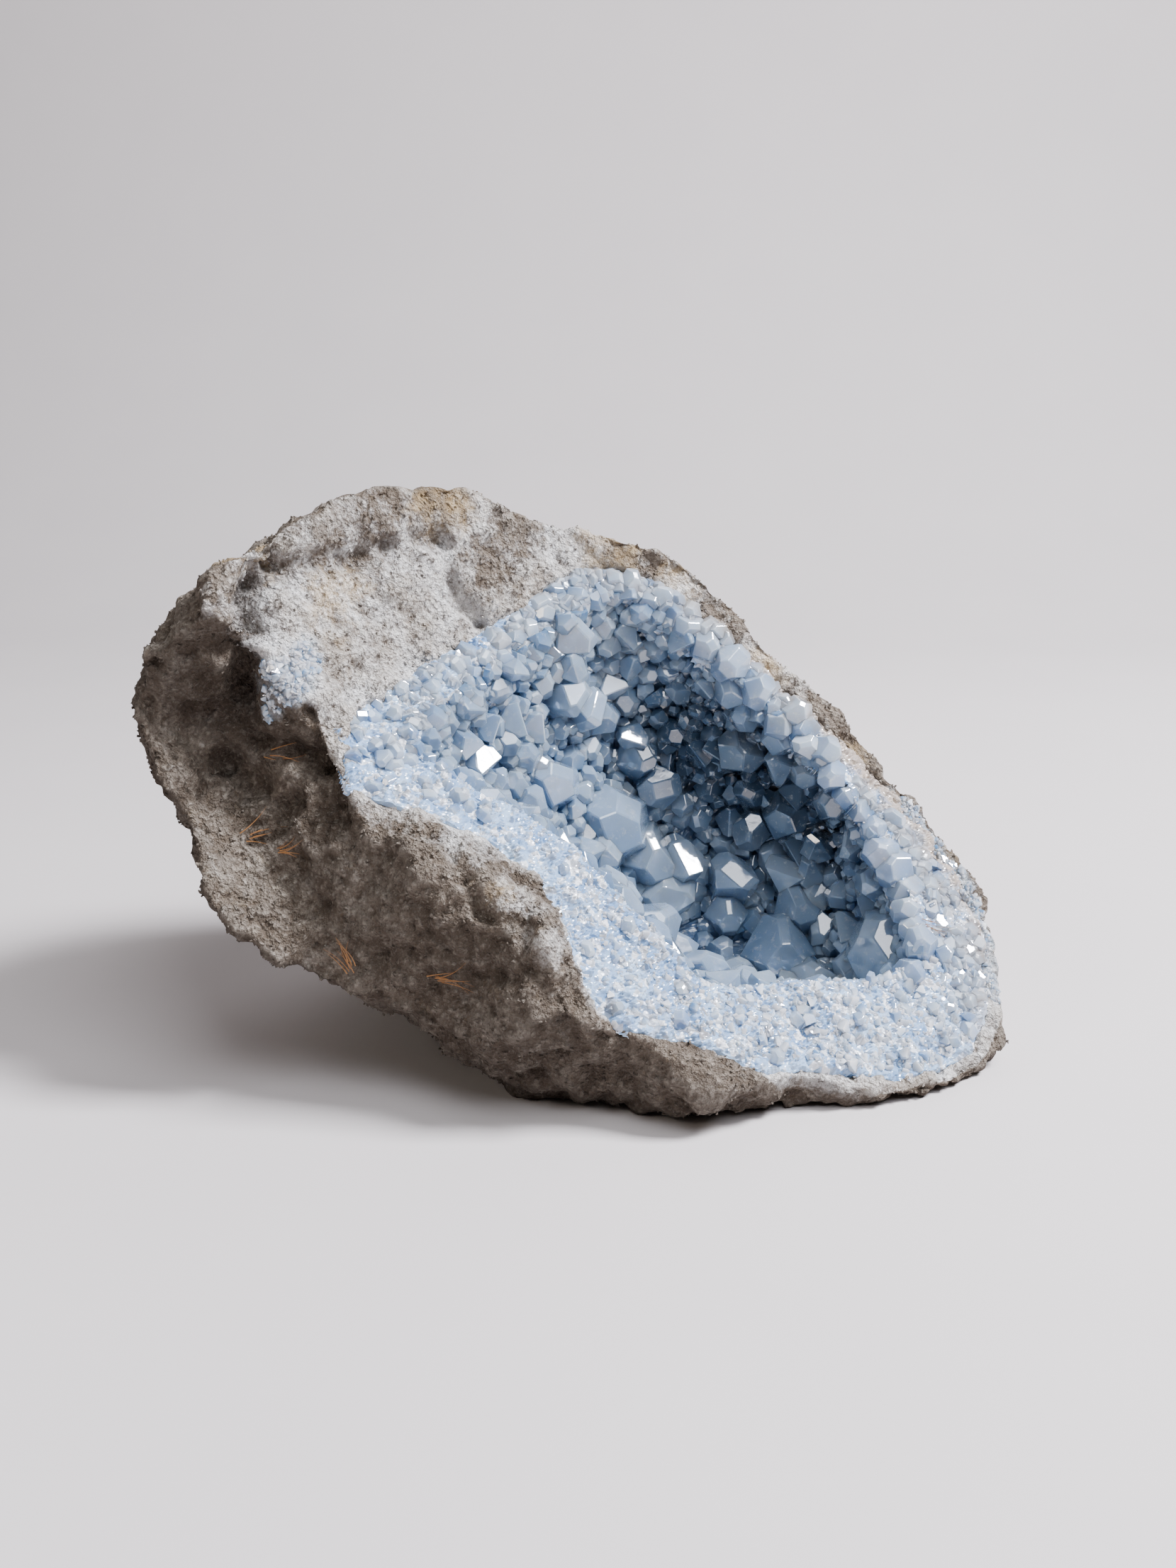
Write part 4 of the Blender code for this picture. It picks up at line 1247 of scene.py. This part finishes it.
for i in sources:
    size = grit_rng.uniform(*GRIT_SIZE) * MM
    grit_uses.append((grit_rng.randrange(GRIT_SHAPES),
                      facing(Vector(roughened[i]), lean(grit_rng, Vector(rock_normals[i]), GRIT_TILT),
                             grit_rng.uniform(0, 360), (size, size * grit_rng.uniform(0.6, 1), size))))
grit_mesh = gather("grit", grit_shapes, grit_uses)
points_each = [len(grit_shapes[number][0]) for number, _ in grit_uses]
for name, values in kept_for_rock.items():
    raised = GRIT_HIGHLIGHT if name == "texture" else 0.0
    keep(grit_mesh, name, np.repeat(values[sources] + raised, points_each))
grit = show("rock_grit", grit_mesh)
grit.data.materials.append(limestone)
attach(grit, "root")
print("grit:", len(grit_uses), "with", len(grit_mesh.polygons), "faces")

# %% [markdown]
# ## Straw
# A few tufts of dry, rust-coloured straw from its packing are caught in the rock. Each fibre is a thin tube
# that tapers to a point, bends a little, and starts from one place with its neighbours.

# %% Straw fibres
# Place in mm, direction, and number of fibres
TUFTS = (
    ((-83, -23, 67), (0.7, -0.3, 0.6), 9), ((-74, -29, 65), (1.0, -0.2, 0.1), 6),
    ((-54, -42, 38), (-0.4, -0.2, 0.8), 9), ((-34, -48, 38), (1.0, -0.1, 0.2), 9),
    ((100, 0, 34), (0.9, -0.4, -0.3), 8), ((-77, -17, 88), (0.9, 0.0, 0.2), 4),
)
FIBRE_RADIUS = 0.16 * MM
FIBRE_STEPS = 7


def fibre(rng, start, direction, out, length):
    """Points and faces of a tapering tube with four sides."""
    side = direction.cross(out).normalized()
    bend = side * rng.uniform(-0.35, 0.35) + out * rng.uniform(-0.15, 0.35)
    points, faces = [], []
    for step in range(FIBRE_STEPS):
        t = step / (FIBRE_STEPS - 1)
        middle = start + direction * length * t + bend * length * t * t
        thick = FIBRE_RADIUS * (1 - 0.85 * t)
        points += [middle + side * thick, middle + out * thick, middle - side * thick, middle - out * thick]
    for step in range(FIBRE_STEPS - 1):
        for i in range(4):
            j = (i + 1) % 4
            faces.append([4 * step + i, 4 * step + j, 4 * step + 4 + j, 4 * step + 4 + i])
    faces += [[3, 2, 1, 0], [4 * FIBRE_STEPS - 4 + i for i in range(4)]]
    return np.array(points), faces, [0] * len(faces)


straw_rng = random.Random(SEED + 3)
fibres = []
ground = np.concatenate((roughened, band_points))
ground_normals = np.concatenate((rock_normals, np.tile(np.array(BREAK_NORMAL), (len(band_points), 1))))
for place, direction, count in TUFTS:
    nearest = int(np.argmin(np.linalg.norm(ground - np.array(place) * MM, axis=1)))
    out = Vector(ground_normals[nearest])
    way = Vector(direction)
    way = (way - out * way.dot(out)).normalized()
    for _ in range(count):
        spread = Vector((straw_rng.gauss(0, 1), straw_rng.gauss(0, 1), straw_rng.gauss(0, 1)))
        start = Vector(ground[nearest]) + out * 0.8 * MM + spread * 0.9 * MM
        own_way = (way + spread * 0.16 + out * straw_rng.uniform(0.0, 0.35)).normalized()
        fibres.append(fibre(straw_rng, start, own_way, out, straw_rng.uniform(5, 11) * MM))
straw_mesh = gather("straw", fibres, [(i, Matrix.Identity(4)) for i in range(len(fibres))])
straw = show("straw_fibres", straw_mesh)


def make_straw():
    """Dry straw: dull, yellow-brown to rust, lighter in streaks."""
    made, tree, where = new_material("dry straw")
    each = add(tree, "NewGeometry", {}, "Random Per Island")
    streaks = add(tree, "TexNoise", {"Vector": where, "Scale": per_size(1.5), "Detail": 3.0, "Roughness": 0.55})
    tone = summed(tree, 0.0, ((each, 0.6), (streaks, 0.4)))
    colour = layered(tree, linear("6e4526"), ((tone, 0.0, 1.0, 1.0, linear("c08a52")),))
    surface = add(tree, "BsdfPrincipled", {"Base Color": colour, "Roughness": 0.6, "IOR": 1.5})
    add(tree, "OutputMaterial", {"Surface": surface})
    return made


straw.data.materials.append(make_straw())
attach(straw, "root")
print("straw fibres:", len(fibres))

# %% [markdown]
# ## Light, floor and camera
# The stone is lit as by a window: a strong soft light high on the right, which throws the shadow to the left
# and turns a few crystal faces into mirrors. A wider and weaker one above the viewer reaches the bottom of
# the hollow, a faint one from the left keeps the shaded rock readable, and a broad one behind lights the
# rim. A pale floor that curves up into a backdrop keeps everything else plain.

# %% Floor
FLOOR_HALF = 2.2
FLOOR_FRONT = -1.6
SWEEP_START = 0.62
SWEEP_RADIUS = 0.5
SWEEP_STEPS = 16
BACKDROP_TOP = 2.4


def make_floor():
    """Floor that sweeps up into a backdrop."""
    profile = [(FLOOR_FRONT, 0.0), (SWEEP_START, 0.0)]
    for step in range(1, SWEEP_STEPS + 1):
        turn = math.pi / 2 * step / SWEEP_STEPS
        profile.append((SWEEP_START + SWEEP_RADIUS * math.sin(turn), SWEEP_RADIUS * (1 - math.cos(turn))))
    profile.append((SWEEP_START + SWEEP_RADIUS, BACKDROP_TOP))
    points = [(x, y, z) for y, z in profile for x in (-FLOOR_HALF, FLOOR_HALF)]
    faces = [(2 * i, 2 * i + 1, 2 * i + 3, 2 * i + 2) for i in range(len(profile) - 1)]
    mesh = mesh_from("floor", points, faces)
    mesh.shade_smooth()
    made = bpy.data.objects.new("floor", mesh)
    bpy.context.scene.collection.objects.link(made)
    material, tree, where = new_material("pale paper")
    clouds = add(tree, "TexNoise", {"Vector": where, "Scale": per_size(90), "Detail": 2.0, "Roughness": 0.55})
    colour = layered(tree, linear("c3bdbc"), ((clouds, 0.0, 1.0, 1.0, linear("c9c3c1")),))
    surface = add(tree, "BsdfPrincipled", {"Base Color": colour, "Roughness": 0.8, "IOR": 1.45})
    add(tree, "OutputMaterial", {"Surface": surface})
    mesh.materials.append(material)
    return made


floor = make_floor()

# %% Lights
LIT_PLACE = Vector((0, 0, 0.07))
# Name, place and side in metres, watts, and colour
LIGHTS = (
    ("window", (0.86, -0.1, 1.12), 0.36, 70, "f6f7ff"),
    ("bright ceiling", (0.35, -0.6, 1.2), 0.8, 15, "f4f7ff"),
    ("second window", (-0.95, -0.5, 0.7), 0.25, 2.5, "fff4e8"),
    ("sky", (0.05, 1.15, 1.35), 1.4, 9, "eef3ff"),
)
ROOM_STRENGTH = 0.06
for name, place, side, watts, hex_colour in LIGHTS:
    lamp = bpy.data.lights.new(name, "AREA")
    lamp.size = side
    lamp.energy = watts
    lamp.color = linear(hex_colour)[:3]
    light = bpy.data.objects.new(name, lamp)
    light.location = place
    light.rotation_euler = (LIT_PLACE - Vector(place)).to_track_quat("-Z", "Y").to_euler()
    bpy.context.scene.collection.objects.link(light)
world = bpy.data.worlds.new("room light")
world.use_nodes = True
background = world.node_tree.nodes["Background"]
background.inputs["Color"].default_value = linear("dcd6d0")
background.inputs["Strength"].default_value = ROOM_STRENGTH
bpy.context.scene.world = world
print("lights:", ", ".join(name for name, *_ in LIGHTS))

# %% Camera
CAMERA_PLACE = Vector((0.006, -0.396, 0.185)) + ORIGIN
CAMERA_PITCH = 15.5
FOCAL_PIXELS = 2100
FRAME_HEIGHT = 2212
lens = bpy.data.cameras.new("camera")
lens.sensor_fit = "VERTICAL"
lens.sensor_height = 36
lens.lens = 36 * FOCAL_PIXELS / FRAME_HEIGHT
lens.clip_start = 0.01
camera = bpy.data.objects.new("camera", lens)
camera.location = CAMERA_PLACE
camera.rotation_euler = (math.radians(90 - CAMERA_PITCH), 0, 0)
bpy.context.scene.collection.objects.link(camera)
bpy.context.scene.camera = camera
print("the lens is", round(lens.lens, 1), "mm on a 36 mm frame height")
